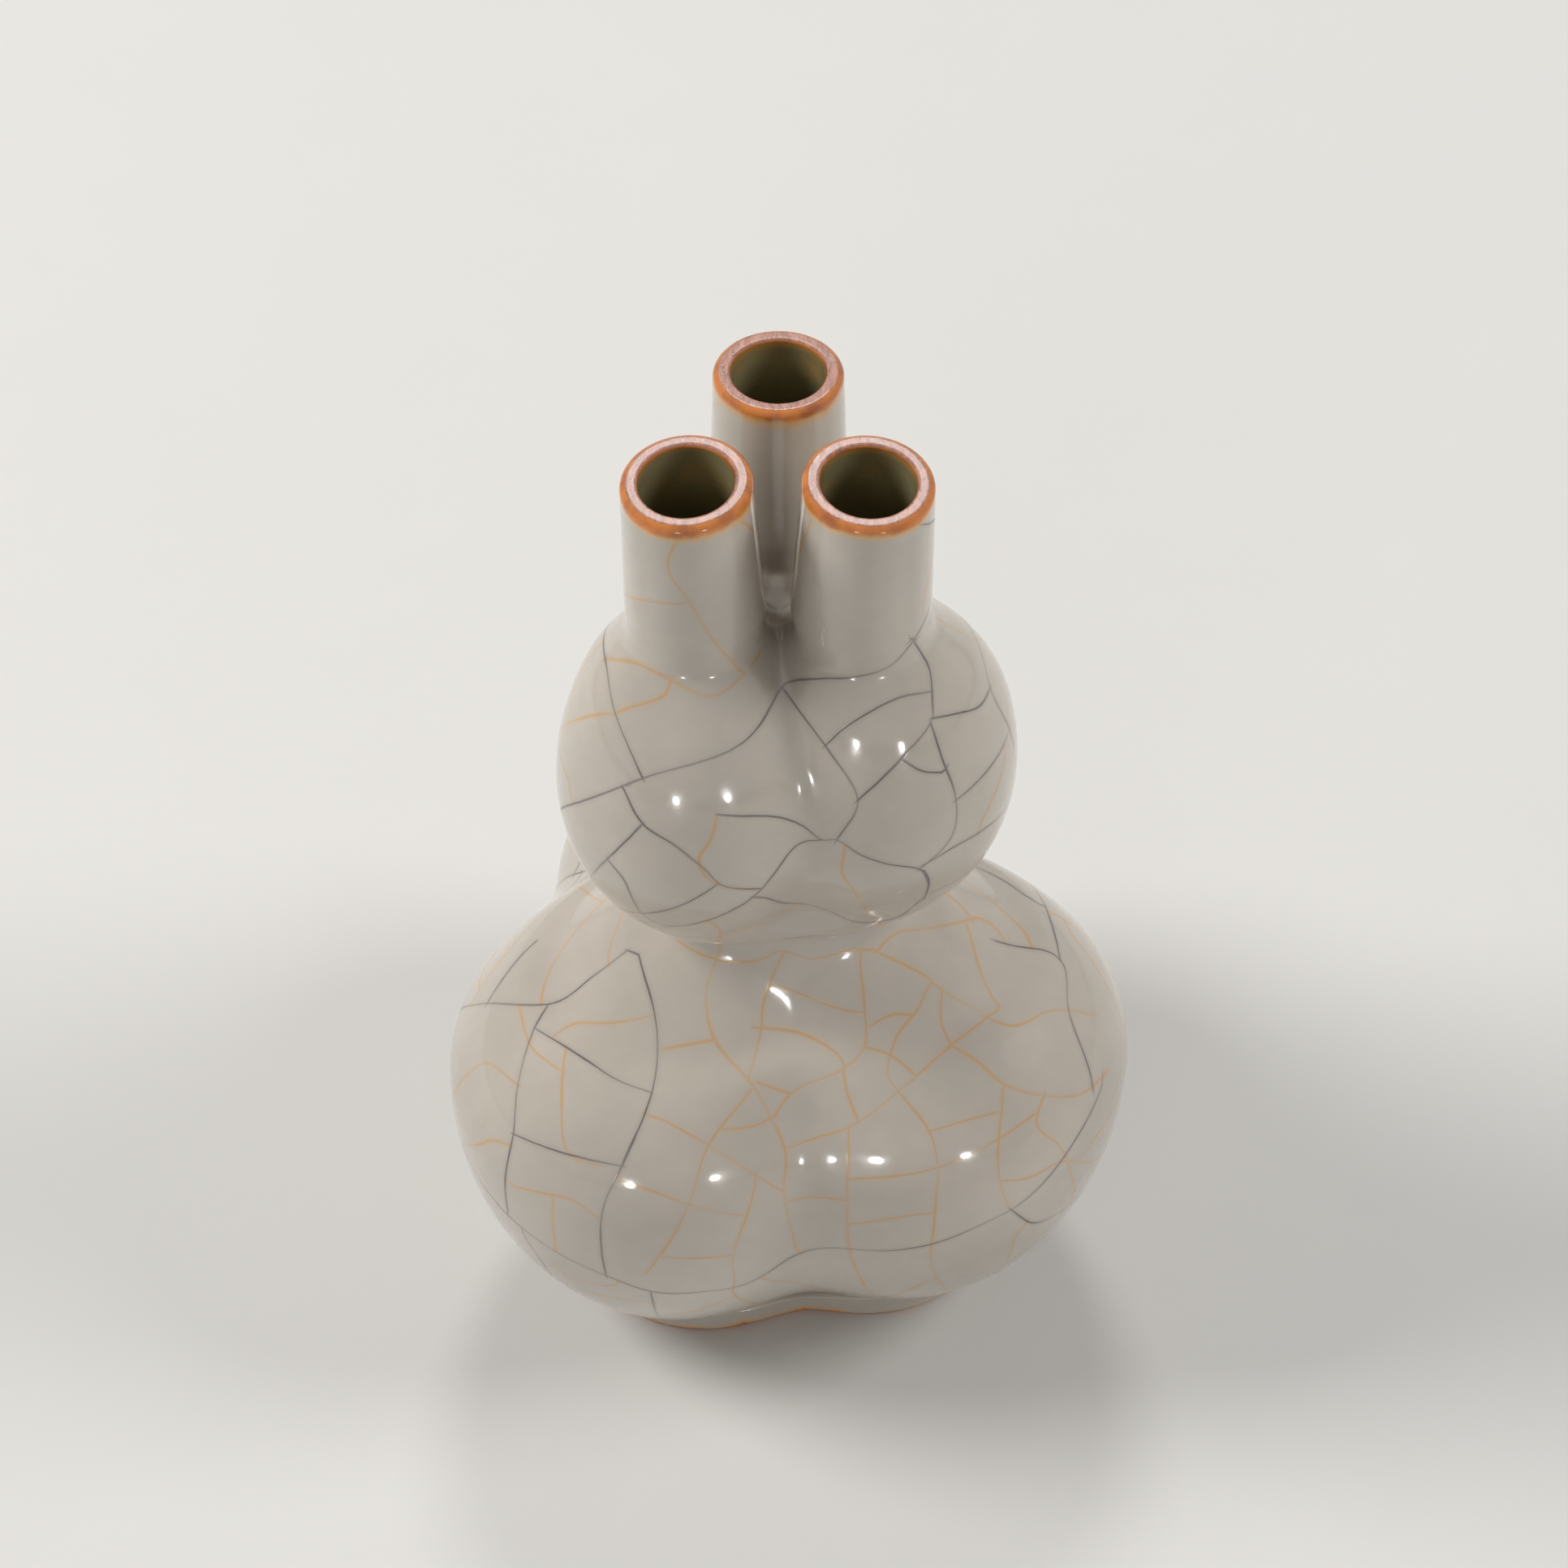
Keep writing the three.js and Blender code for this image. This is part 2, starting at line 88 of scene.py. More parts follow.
def length(name, description, millimetres):
    default = millimetres * MM
    return FloatProperty(name=name, description=description, default=default, unit="LENGTH", precision=5)


def turn(name, description, degrees):
    return FloatProperty(name=name, description=description, default=math.radians(degrees), subtype="ANGLE")


def in_millimetres(name, description, value):
    description = f"{description}, in millimetres"
    return FloatProperty(name=name, description=description, default=value, min=0.05)


def power(name, description, watts):
    return FloatProperty(name=name, description=description, default=watts, unit="POWER")


def colour(name, description, value):
    kind = {"size": 3, "min": 0.0, "max": 1.0, "subtype": "COLOR"}
    return FloatVectorProperty(name=name, description=description, default=value, **kind)


# ---- sizes and looks that a user may change


class LowerBulbSizes(bpy.types.PropertyGroup):
    lobe_offset: length("Lobe offset", "Distance of each lobe's middle from the axis", 29.0)
    base_offset: length("Base offset", "The same distance low on the bulb", 25.0)
    lobe_radius: length("Lobe radius", "Radius of each lobe at its middle", 41.1)
    top: length("Top height", "Height of the bulb above its middle", 31.0)
    bottom: length("Bottom height", "Height of the bulb below its middle", 58.3)
    lift: length("Lift", "How far the lobes' lowest point would be above the table", 0.2)
    wall: length("Wall", "Thickness of the wall", 4.5)
    floor: length("Floor", "Thickness of the floor", 4.5)
    softness: length("Softness", "How softly neighbouring lobes run together", 4.2)
    turn: turn("Turn", "How far the lobes are turned about the axis", 6.5)
    top_angle: turn("Top angle", "Where the lobe hands over to the waist", 66.0)


class UpperBulbSizes(bpy.types.PropertyGroup):
    lobe_offset: length("Lobe offset", "Distance of each lobe's middle from the axis", 19.3)
    lobe_radius: length("Lobe radius", "Radius of each lobe at its middle", 26.1)
    top: length("Top height", "Height of the bulb above its middle", 38.0)
    bottom: length("Bottom height", "Height of the bulb below its middle", 35.8)
    wall: length("Wall", "Thickness of the wall", 4.0)
    softness: length("Softness", "How softly neighbouring lobes run together", 3.0)
    turn: turn("Turn", "How far the lobes are turned about the axis", 8.5)
    bottom_angle: turn("Bottom angle", "Where the waist hands over to the lobe", -58.0)


class WaistSizes(bpy.types.PropertyGroup):
    rise: length("Rise", "Height of the waist above the lower bulb", 14.3)
    drop: length("Drop", "Height of the waist below the upper bulb's middle", 34.8)
    lobe_offset: length("Lobe offset", "Distance of each lobe's middle from the axis", 12.0)
    crown_radius: length("Crown radius", "Radius over the lobes", 25.6)
    core_radius: length("Core radius", "Radius of the round column inside the lobes", 23.8)
    wall: length("Wall", "Thickness of the wall", 4.5)
    twist_reach: length("Twist reach", "Height over which the upper lobes turn from the lower ones", 8.0)


class NeckSizes(bpy.types.PropertyGroup):
    root_offset: length("Root offset", "Distance of a neck's root from the axis", 17.25)
    mouth_offset: length("Mouth offset", "Distance of a neck's mouth from the axis", 18.5)
    root_radius: length("Root radius", "Outer radius at the root", 12.7)
    mouth_radius: length("Mouth radius", "Outer radius at the mouth", 11.75)
    wall: length("Wall", "Thickness of the wall", 3.2)
    root_rise: length("Root rise", "Height of the neck's seam above the bulb", 3.6)
    fillet: length("Fillet", "Size of the curve from bulb to neck", 3.0)
    length: length("Length", "Length of the neck below the lip", 27.4)
    softness: length("Softness", "How softly the neck roots run together", 1.5)
    turn: turn("Turn", "How far the necks are turned about the axis", -0.5)
    lip_height: length("Lip height", "Height of the dressed lip", 4.0)
    lip_lean: turn("Lip lean", "Outward lean of the mouth", 3.5)
    lip_outer_round: length("Outer round", "Rounding of the lip's outer edge", 1.3)
    lip_inner_round: length("Inner round", "Rounding of the lip's inner edge", 0.7)


class FootSizes(bpy.types.PropertyGroup):
    height: length("Height", "Height of the foot", 5.5)
    lobe_offset: length("Lobe offset", "Distance of each lobe's middle from the axis", 19.5)
    crown_radius: length("Crown radius", "Radius over the lobes", 45.9)
    flare: length("Flare", "Height over which the bulb meets the foot", 2.0)
    taper: length("Taper", "How much narrower the foot is at its top", 0.9)
    width: length("Width", "Width of the foot's tread", 6.5)
    edge_round: length("Edge round", "Rounding of the tread's edges", 1.1)


class GlazeLook(bpy.types.PropertyGroup):
    body: colour("Glaze", "Grey-white crackled glaze", (0.50, 0.450, 0.390))
    pooled: colour("Pooled glaze", "Glaze where it lies thicker", (0.45, 0.407, 0.353))
    bore: colour("Bore glaze", "Olive glaze inside the necks", (0.27, 0.235, 0.125))
    rust: colour("Rust", "Iron brown where the glaze is thin at an edge", (0.60, 0.175, 0.016))
    iron: colour("Iron", "Darkest brown of the thin edge", (0.30, 0.065, 0.012))
    amber: colour("Amber", "Where the rust runs out into the glaze", (0.66, 0.36, 0.095))
    clay: colour("Bare clay", "Unglazed ring of the lip and tread of the foot", (0.42, 0.205, 0.155))
    rust_reach: in_millimetres("Rust reach", "How far down the rust runs", 2.2)


class CrackleLook(bpy.types.PropertyGroup):
    dark: colour("Dark line", "Charcoal lines of the wide crackle", (0.07, 0.055, 0.065))
    gold: colour("Gold line", "Stained lines of the fine crackle", (0.54, 0.31, 0.105))
    dark_width: in_millimetres("Dark width", "Width of a dark line", 0.34)
    gold_width: in_millimetres("Gold width", "Width of a gold line", 0.46)
    dark_cell: length("Wide cell", "Distance between wide cracks", 12.5)
    gold_cell: length("Fine cell", "Distance between fine cracks", 5.4)
    seed: IntProperty(name="Seed", description="Chooses another crackle", default=11, min=0)


class StageLook(bpy.types.PropertyGroup):
    floor: colour("Floor", "Pale floor", (0.70, 0.693, 0.68))
    sky: colour("Sky", "Soft light from all round", (1.0, 0.99, 0.97))
    left_power: power("Left lamp", "Large soft lamp", 31.0)
    right_power: power("Right lamp", "Large soft lamp", 18.5)
    front_power: power("Front lamp", "Large soft lamp", 3.0)
    back_power: power("Back lamp", "Lamp behind", 9.5)
    spark_power: power("Spark lamps", "Small lamps that glint in the glaze", 0.6)
    lens: FloatProperty(
        name="Lens", description="Focal length", default=126.7 * MM, unit="CAMERA", subtype="DISTANCE_CAMERA"
    )


class BottleSettings(bpy.types.PropertyGroup):
    lower: PointerProperty(type=LowerBulbSizes, name="Lower bulb", description="Sizes of the lower bulb")
    upper: PointerProperty(type=UpperBulbSizes, name="Upper bulb", description="Sizes of the upper bulb")
    waist: PointerProperty(type=WaistSizes, name="Waist", description="Sizes of the waist")
    neck: PointerProperty(type=NeckSizes, name="Necks", description="Sizes of the necks and lips")
    foot: PointerProperty(type=FootSizes, name="Foot", description="Sizes of the foot")
    glaze: PointerProperty(type=GlazeLook, name="Glaze", description="Colours of the glaze")
    crackle: PointerProperty(type=CrackleLook, name="Crackle", description="Look of the crackle")
    stage: PointerProperty(type=StageLook, name="Stage", description="Floor, lamps and camera")


def settings():
    return bpy.context.scene.gourd_bottle


# ---- shape of the wall


def ease(z, low, high):
    t = np.clip((z - low) / (high - low), 0, 1)
    return t * t * (3 - 2 * t)


def through_knots(knots, z):
    """Eased value through (height, value) knots."""
    z = np.asarray(z, float)
    value = np.full(z.shape, float(knots[0][1]))
    for (low, before), (high, after) in zip(knots[:-1], knots[1:]):
        value = np.where(z > low, before + (after - before) * ease(z, low, high), value)
    return value


def smooth_line(points, count):
    """Points on a centripetal Catmull-Rom line through the given ones."""
    given = np.array(points, float)
    given = np.vstack([2 * given[0] - given[1], given, 2 * given[-1] - given[-2]])
    place = np.linspace(0, len(given) - 3, count + 1)
    first = np.minimum(place.astype(int), len(given) - 4)
    t = (place - first)[:, None]
    p0, p1, p2, p3 = (given[first + k] for k in range(4))
    pairs = ((p0, p1), (p1, p2), (p2, p3))
    d0, d1, d2 = (np.sqrt(np.linalg.norm(b - a, axis=1))[:, None].clip(TINY) for a, b in pairs)
    m1 = ((p1 - p0) / d0 - (p2 - p0) / (d0 + d1) + (p2 - p1) / d1) * d1
    m2 = ((p2 - p1) / d1 - (p3 - p1) / (d1 + d2) + (p3 - p2) / d2) * d1
    return p1 + m1 * t + (3 * (p2 - p1) - 2 * m1 - m2) * t**2 + (2 * (p1 - p2) + m1 + m2) * t**3


def unit(vector):
    return vector / np.linalg.norm(vector)


def units(vectors):
    return vectors / np.linalg.norm(vectors, axis=1, keepdims=True)


def solve(low, high, test, steps=34):
    """Halving search, point by point, for the sign change of a function that rises."""
    for _ in range(steps):
        middle = (low + high) / 2
        inside = test(middle) < 0
        low, high = np.where(inside, middle, low), np.where(inside, high, middle)
    return (low + high) / 2


class Section:
    """Level outlines of the bottle at any height, for one face of the wall."""

    def __init__(self, inner):
        bottle = settings()
        self.lower, self.upper, self.waist = bottle.lower, bottle.upper, bottle.waist
        self.neck, self.foot, self.inner = bottle.neck, bottle.foot, inner
        lower, upper, waist, neck, foot = self.lower, self.upper, self.waist, self.neck, self.foot
        parts = {"lower": lower, "upper": upper, "waist": waist, "neck": neck}
        self.inset = {name: part.wall if inner else 0.0 for name, part in parts.items()}
        self.lower_middle = lower.lift + lower.bottom
        self.waist_height = self.lower_middle + lower.top + waist.rise
        self.upper_middle = self.waist_height + waist.drop
        self.neck_seam = self.upper_middle + upper.top + neck.root_rise
        self.lip_seam = self.neck_seam + neck.length
        self.lip_top = self.lip_seam + neck.lip_height
        self.floor_height = foot.height + lower.floor
        self.flare_top = foot.height + foot.flare
        self.offset_knots = (
            (foot.height, foot.lobe_offset),
            (self.flare_top, lower.base_offset),
            (self.lower_middle - BASE_SPREAD * lower.bottom, lower.base_offset),
            (self.lower_middle, lower.lobe_offset),
            (self.lower_middle + DOME_SPREAD * lower.top, lower.lobe_offset),
            (self.waist_height, waist.lobe_offset),
            (self.upper_middle - BOWL_SPREAD * upper.bottom, upper.lobe_offset),
            (self.upper_middle + SHOULDER_SPREAD * upper.top, upper.lobe_offset),
            (self.neck_seam, neck.root_offset),
        )
        self.softness_knots = (
            (self.lower_middle, lower.softness),
            (self.waist_height, upper.softness),
            (self.upper_middle + SOFT_FROM * upper.top, upper.softness),
            (self.upper_middle + SOFT_TO * upper.top, neck.softness),
        )
        self.turn_knots = (
            (self.waist_height - waist.twist_reach, lower.turn),
            (self.waist_height + waist.twist_reach, upper.turn),
            (self.upper_middle + TURN_FROM * upper.top, upper.turn),
            (self.neck_seam, neck.turn),
        )
        self.line = self.crown_line(self.floor_height if inner else foot.height)
        self.tabulate()

    def crown_line(self, bottom):
        """(radius, height) points from the foot to the neck seam, over the crown of a lobe."""
        lower, upper, neck, inset = self.lower, self.upper, self.neck, self.inset
        start = math.asin((bottom - self.lower_middle) / (lower.bottom - inset["lower"]))
        points = self.bulb_line(lower, self.lower_middle, start, lower.top_angle, 10, inset["lower"])
        points.append((self.waist.crown_radius - inset["waist"], self.waist_height))
        crown = neck.root_offset + neck.root_radius - inset["neck"]
        reach = (crown + neck.fillet - upper.lobe_offset) / (upper.lobe_radius - inset["upper"])
        end = math.acos(reach)
        points += self.bulb_line(upper, self.upper_middle, upper.bottom_angle, end, 8, inset["upper"])
        bend, seam = points[-1][1], self.neck_seam
        points += [
            (crown + neck.fillet / 5, bend + (seam - bend) / 3),
            (crown, bend + 2 * (seam - bend) / 3),
            (crown, seam),
        ]
        return smooth_line(points, CROWN_STEPS)

    @staticmethod
    def bulb_line(bulb, middle, low, high, count, inset):
        """(radius, height) points over a bulb's crown, between two angles from its middle."""
        points = []
        for angle in np.linspace(low, high, count):
            half = (bulb.top if angle > 0 else bulb.bottom) - inset
            radius = bulb.lobe_offset + (bulb.lobe_radius - inset) * math.cos(angle)
            points.append((radius, middle + half * math.sin(angle)))
        return points

    def tabulate(self):
        """Tables, by height, of everything that shapes a level outline."""
        neck, upper = self.neck, self.upper
        self.heights = z = np.linspace(0, self.lip_top + 1 * MM, TABLE_ROWS)
        share_up = (z - self.neck_seam) / (self.lip_top - self.neck_seam)
        leaning = neck.root_offset + (neck.mouth_offset - neck.root_offset) * share_up
        self.offsets = np.where(z > self.neck_seam, leaning, through_knots(self.offset_knots, z))
        tube = neck.root_radius + (neck.mouth_radius - neck.root_radius) * share_up - self.inset["neck"]
        bulbs = np.interp(z, self.line[:, 1], self.line[:, 0])
        self.crowns = np.where(z >= self.neck_seam, self.offsets + tube, bulbs)
        fading = ease(z, self.upper_middle, self.upper_middle + SHOULDER_SPREAD * upper.top)
        self.cores = (self.waist.core_radius - self.inset["waist"]) * (1 - 2 * fading)
        self.softnesses = through_knots(self.softness_knots, z)
        azimuths = math.pi / 2 + through_knots(self.turn_knots, z)
        self.middles = [
            (self.offsets * np.cos(azimuths + lobe * THIRD), self.offsets * np.sin(azimuths + lobe * THIRD))
            for lobe in range(len(LOBES))
        ]

    def offset(self, z):
        return self.at(z, self.offsets)

    def crown(self, z):
        return self.at(z, self.crowns)

    def core(self, z):
        return self.at(z, self.cores)

    def lobe_centre(self, lobe, z):
        return tuple(self.at(z, middle) for middle in self.middles[lobe])

    def at(self, z, table):
        return np.interp(z, self.heights, table)

    def field(self, x, y, z, crown=None, core=None):
        """Negative inside the softly joined lobes and waist column, positive outside."""
        crown = self.crown(z) if crown is None else crown
        core = self.core(z) if core is None else core
        softness = self.at(z, self.softnesses)
        radius = crown - self.offset(z)
        total = np.exp((core - np.hypot(x, y)) / softness)
        for lobe in range(len(LOBES)):
            cx, cy = self.lobe_centre(lobe, z)
            total = total + np.exp((radius - np.hypot(x - cx, y - cy)) / softness)
        return -softness * np.log(total)

    def slope(self, points):
        """Field and its gradient at (n, 3) points."""
        step = 0.05 * MM
        around = points[None] + np.vstack([np.zeros(3), np.eye(3), -np.eye(3)])[:, None] * step
        f = self.field(around[..., 0], around[..., 1], around[..., 2])
        return f[0], ((f[1:4] - f[4:7]) / (2 * step)).T

    def settle(self, points, times=1):
        """Points drawn onto the surface, and the outward directions there."""
        for _ in range(times):
            f, gradient = self.slope(points)
            size = np.linalg.norm(gradient, axis=1, keepdims=True)
            points = points - (f[:, None] / size) * gradient / size
        return points, gradient / size

    def normals(self, points):
        away = units(self.slope(points)[1])
        return -away if self.inner else away

    def column_start(self):
        return math.pi / 2 + self.upper.turn - THIRD / 2

    def body_rings(self, z, crown=None, core=None, columns=COLUMNS):
        """(rings, columns, 3) points of the closed outline round all three lobes."""
        z = np.atleast_1d(np.asarray(z, float))[:, None]
        crown = self.crown(z) if crown is None else np.atleast_1d(crown)[:, None]
        core = self.core(z) if core is None else core
        a = self.column_start() + 2 * math.pi * np.arange(columns)[None] / columns
        reach = solve(0.0, 2 * crown, lambda r: self.field(r * np.cos(a), r * np.sin(a), z, crown, core))
        return np.stack([reach * np.cos(a), reach * np.sin(a), z + 0 * reach], -1)

    def neck_rings(self, lobe, z):
        """(rings, columns, 3) points of one neck, from the side that faces the axis."""
        z = np.atleast_1d(np.asarray(z, float))[:, None]
        cx, cy = self.lobe_centre(lobe, z)
        crown, offset, core = self.crown(z), self.offset(z), self.core(z)
        halfway = offset * math.sin(math.pi / len(LOBES))
        start = self.column_start() + THIRD * (lobe + 0.5) + math.pi
        a = start + 2 * math.pi * np.arange(NECK_COLUMNS)[None] / NECK_COLUMNS

        def spot(reach):
            return cx + reach * np.cos(a), cy + reach * np.sin(a), z + 0 * reach

        reach = solve(0.5 * (crown - offset), halfway, lambda r: self.field(*spot(r), crown, core))
        return np.stack(spot(reach), -1)

    def levels(self, low, high, pitch):
        """Heights about a pitch apart along the crown line."""
        line = self.line[(self.line[:, 1] > low) & (self.line[:, 1] < high)]
        ends = np.interp([low, high], self.line[:, 1], self.line[:, 0])
        line = np.vstack([(ends[0], low), line, (ends[1], high)])
        along = np.concatenate([[0], np.cumsum(np.linalg.norm(np.diff(line, axis=0), axis=1))])
        count = max(2, round(along[-1] / pitch))
        return np.interp(np.linspace(0, along[-1], count + 1), along, line[:, 1])

    def height_where(self, ratio):
        """Height on the shoulder at which lobe radius over lobe offset falls to a ratio."""

        def fallen(z):
            return ratio - (self.crown(z) - self.offset(z)) / self.offset(z)

        return float(solve(self.upper_middle, self.neck_seam, fallen))


@functools.cache
def faces_of_wall():
    """The outer and the inner face of the wall."""
    return Section(False), Section(True)


@functools.cache
def axis_shift():
    """Moves the bottle's axis so that the origin lies under the middle of the footprint."""
    outer = faces_of_wall()[0]
    ring = outer.body_rings(outer.lower_middle, columns=FOOTPRINT_COLUMNS)[0]
    middle = (ring.min(0) + ring.max(0)) / 2
    return np.array([-middle[0], -middle[1], 0.0])


# ---- cracks in the glaze

# Camera place, tilt and roll that give the viewing angle, in the frame's metres and degrees.
CAMERA_PLACE = (-0.0008, -0.6985, 0.8964)
CAMERA_TILT = 41.8
CAMERA_ROLL = -0.25
SENSOR_WIDTH = 36 * MM
PICTURE_WIDTH = 1932

# Routes of the wide and the fine cracks on the front, as pixels of the camera's picture.
DARK_ROUTES = (
    ((691, 997), (792, 959), (903, 923), (930, 901), (961, 850), (970, 841), (1010, 836), (1055, 834),
     (1100, 818), (1127, 787), (1149, 727)),
    ((966, 850), (1017, 919), (1057, 986), (1031, 1035)),
    ((1017, 919), (1042, 896), (1104, 861), (1147, 852)),
    ((1124, 787), (1142, 816), (1149, 870), (1149, 885), (1111, 934), (1057, 986)),
    ((1149, 885), (1180, 879), (1207, 870), (1220, 847)),
    ((1147, 892), (1160, 932), (1178, 986), (1173, 1030), (1133, 1071)),
    ((1113, 937), (1136, 950), (1162, 952)),
    ((1178, 986), (1216, 950), (1243, 901)),
    ((1171, 742), (1220, 847), (1247, 910)),
    ((886, 1004), (952, 1006), (988, 1017), (1013, 1035), (1031, 1035), (1060, 1053), (1091, 1064),
     (1133, 1071), (1144, 1088)),
    ((1013, 1035), (981, 1042), (952, 1079), (939, 1095)),
    ((767, 968), (792, 1015), (832, 1042), (868, 1071), (890, 1091), (935, 1095)),
    ((792, 1015), (734, 1073)),
    ((745, 780), (747, 820), (758, 879), (774, 919), (792, 959)),
    ((675, 1239), (658, 1268), (638, 1337), (632, 1400), (626, 1492)),
    ((563, 1245), (592, 1237), (678, 1237), (732, 1202), (773, 1171)),
    ((661, 1268), (721, 1305), (761, 1331), (801, 1346)),
    ((787, 1176), (807, 1251), (810, 1303), (801, 1354), (767, 1435), (744, 1486), (741, 1538),
     (747, 1572)),
    ((632, 1397), (692, 1420), (767, 1437)),
    ((618, 1489), (669, 1532), (747, 1572), (807, 1592), (864, 1592), (922, 1581), (979, 1547),
     (1014, 1538), (1094, 1541), (1151, 1532), (1209, 1509), (1260, 1481), (1324, 1406), (1358, 1337)),
    ((1226, 1159), (1306, 1182), (1318, 1251), (1347, 1343)),
    ((1306, 1182), (1295, 1136), (1283, 1107)),
    ((1245, 1490), (1275, 1507), (1300, 1497)),
    ((806, 1610), (802, 1592)),
    ((939, 1095), (922, 1110), (905, 1120)),
    ((660, 1160), (640, 1180), (600, 1237)),
    ((943, 1106), (974, 1113), (1012, 1119), (1051, 1135), (1077, 1136), (1109, 1129), (1141, 1103),
     (1180, 1084)),
    ((1135, 1067), (1173, 1045), (1206, 1026), (1228, 1009)),
    ((1135, 1067), (1144, 1084), (1138, 1109)),
    ((883, 1090), (845, 1113), (800, 1125)),
)
GOLD_ROUTES = (
    ((836, 660), (823, 700), (850, 742), (880, 790), (917, 830)),
    ((770, 731), (796, 740), (850, 742)),
    ((747, 812), (787, 818), (827, 838), (877, 858), (917, 830), (937, 803)),
    ((827, 838), (819, 856), (770, 874)),
    ((835, 1159), (872, 1179), (931, 1184), (963, 1172), (999, 1181), (1045, 1172), (1076, 1170)),
    ((885, 1161), (870, 1225), (880, 1280), (922, 1330), (948, 1373), (967, 1416), (966, 1469), (980, 1535)),
    ((965, 1175), (940, 1240), (937, 1275), (922, 1330)),
    ((815, 1293), (881, 1281)),
    ((820, 1381), (873, 1411), (966, 1469)),
    ((926, 1342), (873, 1411), (852, 1475), (825, 1530), (795, 1570)),
    ((932, 1449), (919, 1501), (903, 1549), (905, 1576)),
    ((922, 1330), (972, 1347)),
    ((890, 1392), (929, 1387), (953, 1376)),
    ((1039, 1317), (1044, 1347), (1057, 1380)),
    ((640, 1240), (655, 1290), (694, 1322)),
    ((570, 1330), (600, 1310), (638, 1337)),
    ((690, 900), (740, 880), (758, 879)),
    ((700, 960), (690, 930)),
    ((883, 1006), (877, 1032), (861, 1061), (883, 1090), (909, 1093), (935, 1098)),
    ((1041, 1045), (1038, 1077), (1051, 1096), (1064, 1116)),
    ((928, 1266), (966, 1269), (994, 1276), (1032, 1299), (1041, 1314)),
    ((1060, 1186), (1065, 1243), (1065, 1290), (1039, 1317), (975, 1347), (953, 1376)),
    ((1065, 1290), (1097, 1300), (1127, 1324)),
    ((1140, 1222), (1130, 1245), (1108, 1272), (1097, 1300), (1094, 1325), (1107, 1345)),
    ((1161, 1218), (1159, 1256), (1172, 1288)),
    ((1071, 1265), (1097, 1251), (1125, 1250)),
    ((1079, 1172), (1136, 1200), (1159, 1219), (1211, 1248)),
    ((1231, 1243), (1172, 1288), (1107, 1345), (1046, 1389), (1003, 1403), (967, 1416)),
    ((1107, 1345), (1145, 1394), (1156, 1441), (1154, 1469), (1150, 1517), (1147, 1554), (1164, 1588)),
    ((1145, 1394), (1192, 1380), (1230, 1370)),
    ((1172, 1288), (1206, 1309), (1239, 1337), (1296, 1351), (1334, 1347), (1364, 1320)),
    ((1046, 1389), (1045, 1432), (1044, 1480), (1046, 1536), (1065, 1583)),
    ((1236, 1340), (1230, 1413), (1232, 1455), (1244, 1490)),
    ((1232, 1455), (1268, 1451), (1306, 1432), (1339, 1432)),
    ((767, 1455), (805, 1468), (833, 1479), (918, 1498)),
    ((696, 1299), (692, 1356), (701, 1422), (739, 1436)),
    ((630, 1460), (673, 1471), (706, 1479), (744, 1505)),
    ((1287, 1347), (1277, 1384), (1306, 1413), (1320, 1446)),
    ((1211, 1252), (1249, 1264), (1296, 1245), (1353, 1252)),
    ((968, 1481), (1044, 1480)),
    ((1045, 1453), (1095, 1450), (1140, 1443), (1190, 1425), (1231, 1403), (1275, 1372)),
)

# Where the surface is looked for along a line of sight, from the distance of the axis' foot.
SIGHT_SPAN = (-0.25, 0.15)
SIGHT_STEPS = 900

# Distance between the points of a crack, and those at which two cracks meet or count as joined.
CRACK_STEP = 0.8 * MM
MET = 1.1 * CRACK_STEP
JOINED = 1.2 * CRACK_STEP
# How straight a free end looks for the next crack, and how far.
AHEAD = 0.6
JOIN_REACH = 6 * MM
# Each step keeps most of the last bend, unwinds the turning so far and wanders a little.
BEND_KEPT, UNWINDING, WANDER = 0.97, 0.0004, 0.0045
FIRST_BEND, FIRST_SWERVE = 0.018, 0.35
# An older crack that is near and ahead draws a new one to it, after its first steps.
FRESH_STEPS = 4
PULL, PULL_REACH, PULL_FACING = 0.22, 6 * MM, 0.25
CELL_SPREAD = (0.8, 1.35)
SHORTEST_CRACK = 5
# Places where a crack may start: distance between their rings, and every so many columns.
SITE_PITCH, SITE_COLUMNS = 2.4 * MM, 6
SITE_BLOCK = 60
# Where cracks end: above the foot and above the lips' seam.
ABOVE_FOOT, ABOVE_LIP_SEAM = 1 * MM, 1.5 * MM
# Longest run of an end and of new cracks, and the most new cracks of each kind.
END_RUN, DARK_RUN, GOLD_RUN = 40 * MM, 90 * MM, 60 * MM
MOST_DARK, MOST_GOLD = 60, 420
# The front, which is left to the routes: where it starts, how squarely it is seen, and the depth
# below the waist from which fine cracks grow there too.
FRONT_START = -6 * MM
FRONT_FACING = 0.45
FINE_FROM = 3 * MM

# The drawn line: how far it is written beside a crack, its fading tail and its pulse along.
LINE_REACH = 1.9 * MM
LINE_TAIL = 0.7 * MM
LINE_PULSE = 5 * MM
LINE_SLOTS = ("crack_a", "crack_b", "crack_c")
# Strength of a line at its end and at its faintest, and the distance that says no crack is near.
LINE_FULL, LINE_LOW = 1.15, 0.75
NO_CRACK = 9.0


def camera_matrix():
    tilt = Matrix.Rotation(math.radians(CAMERA_TILT), 4, "X")
    roll = Matrix.Rotation(math.radians(CAMERA_ROLL), 4, "Z")
    return Matrix.Translation(CAMERA_PLACE) @ tilt @ roll


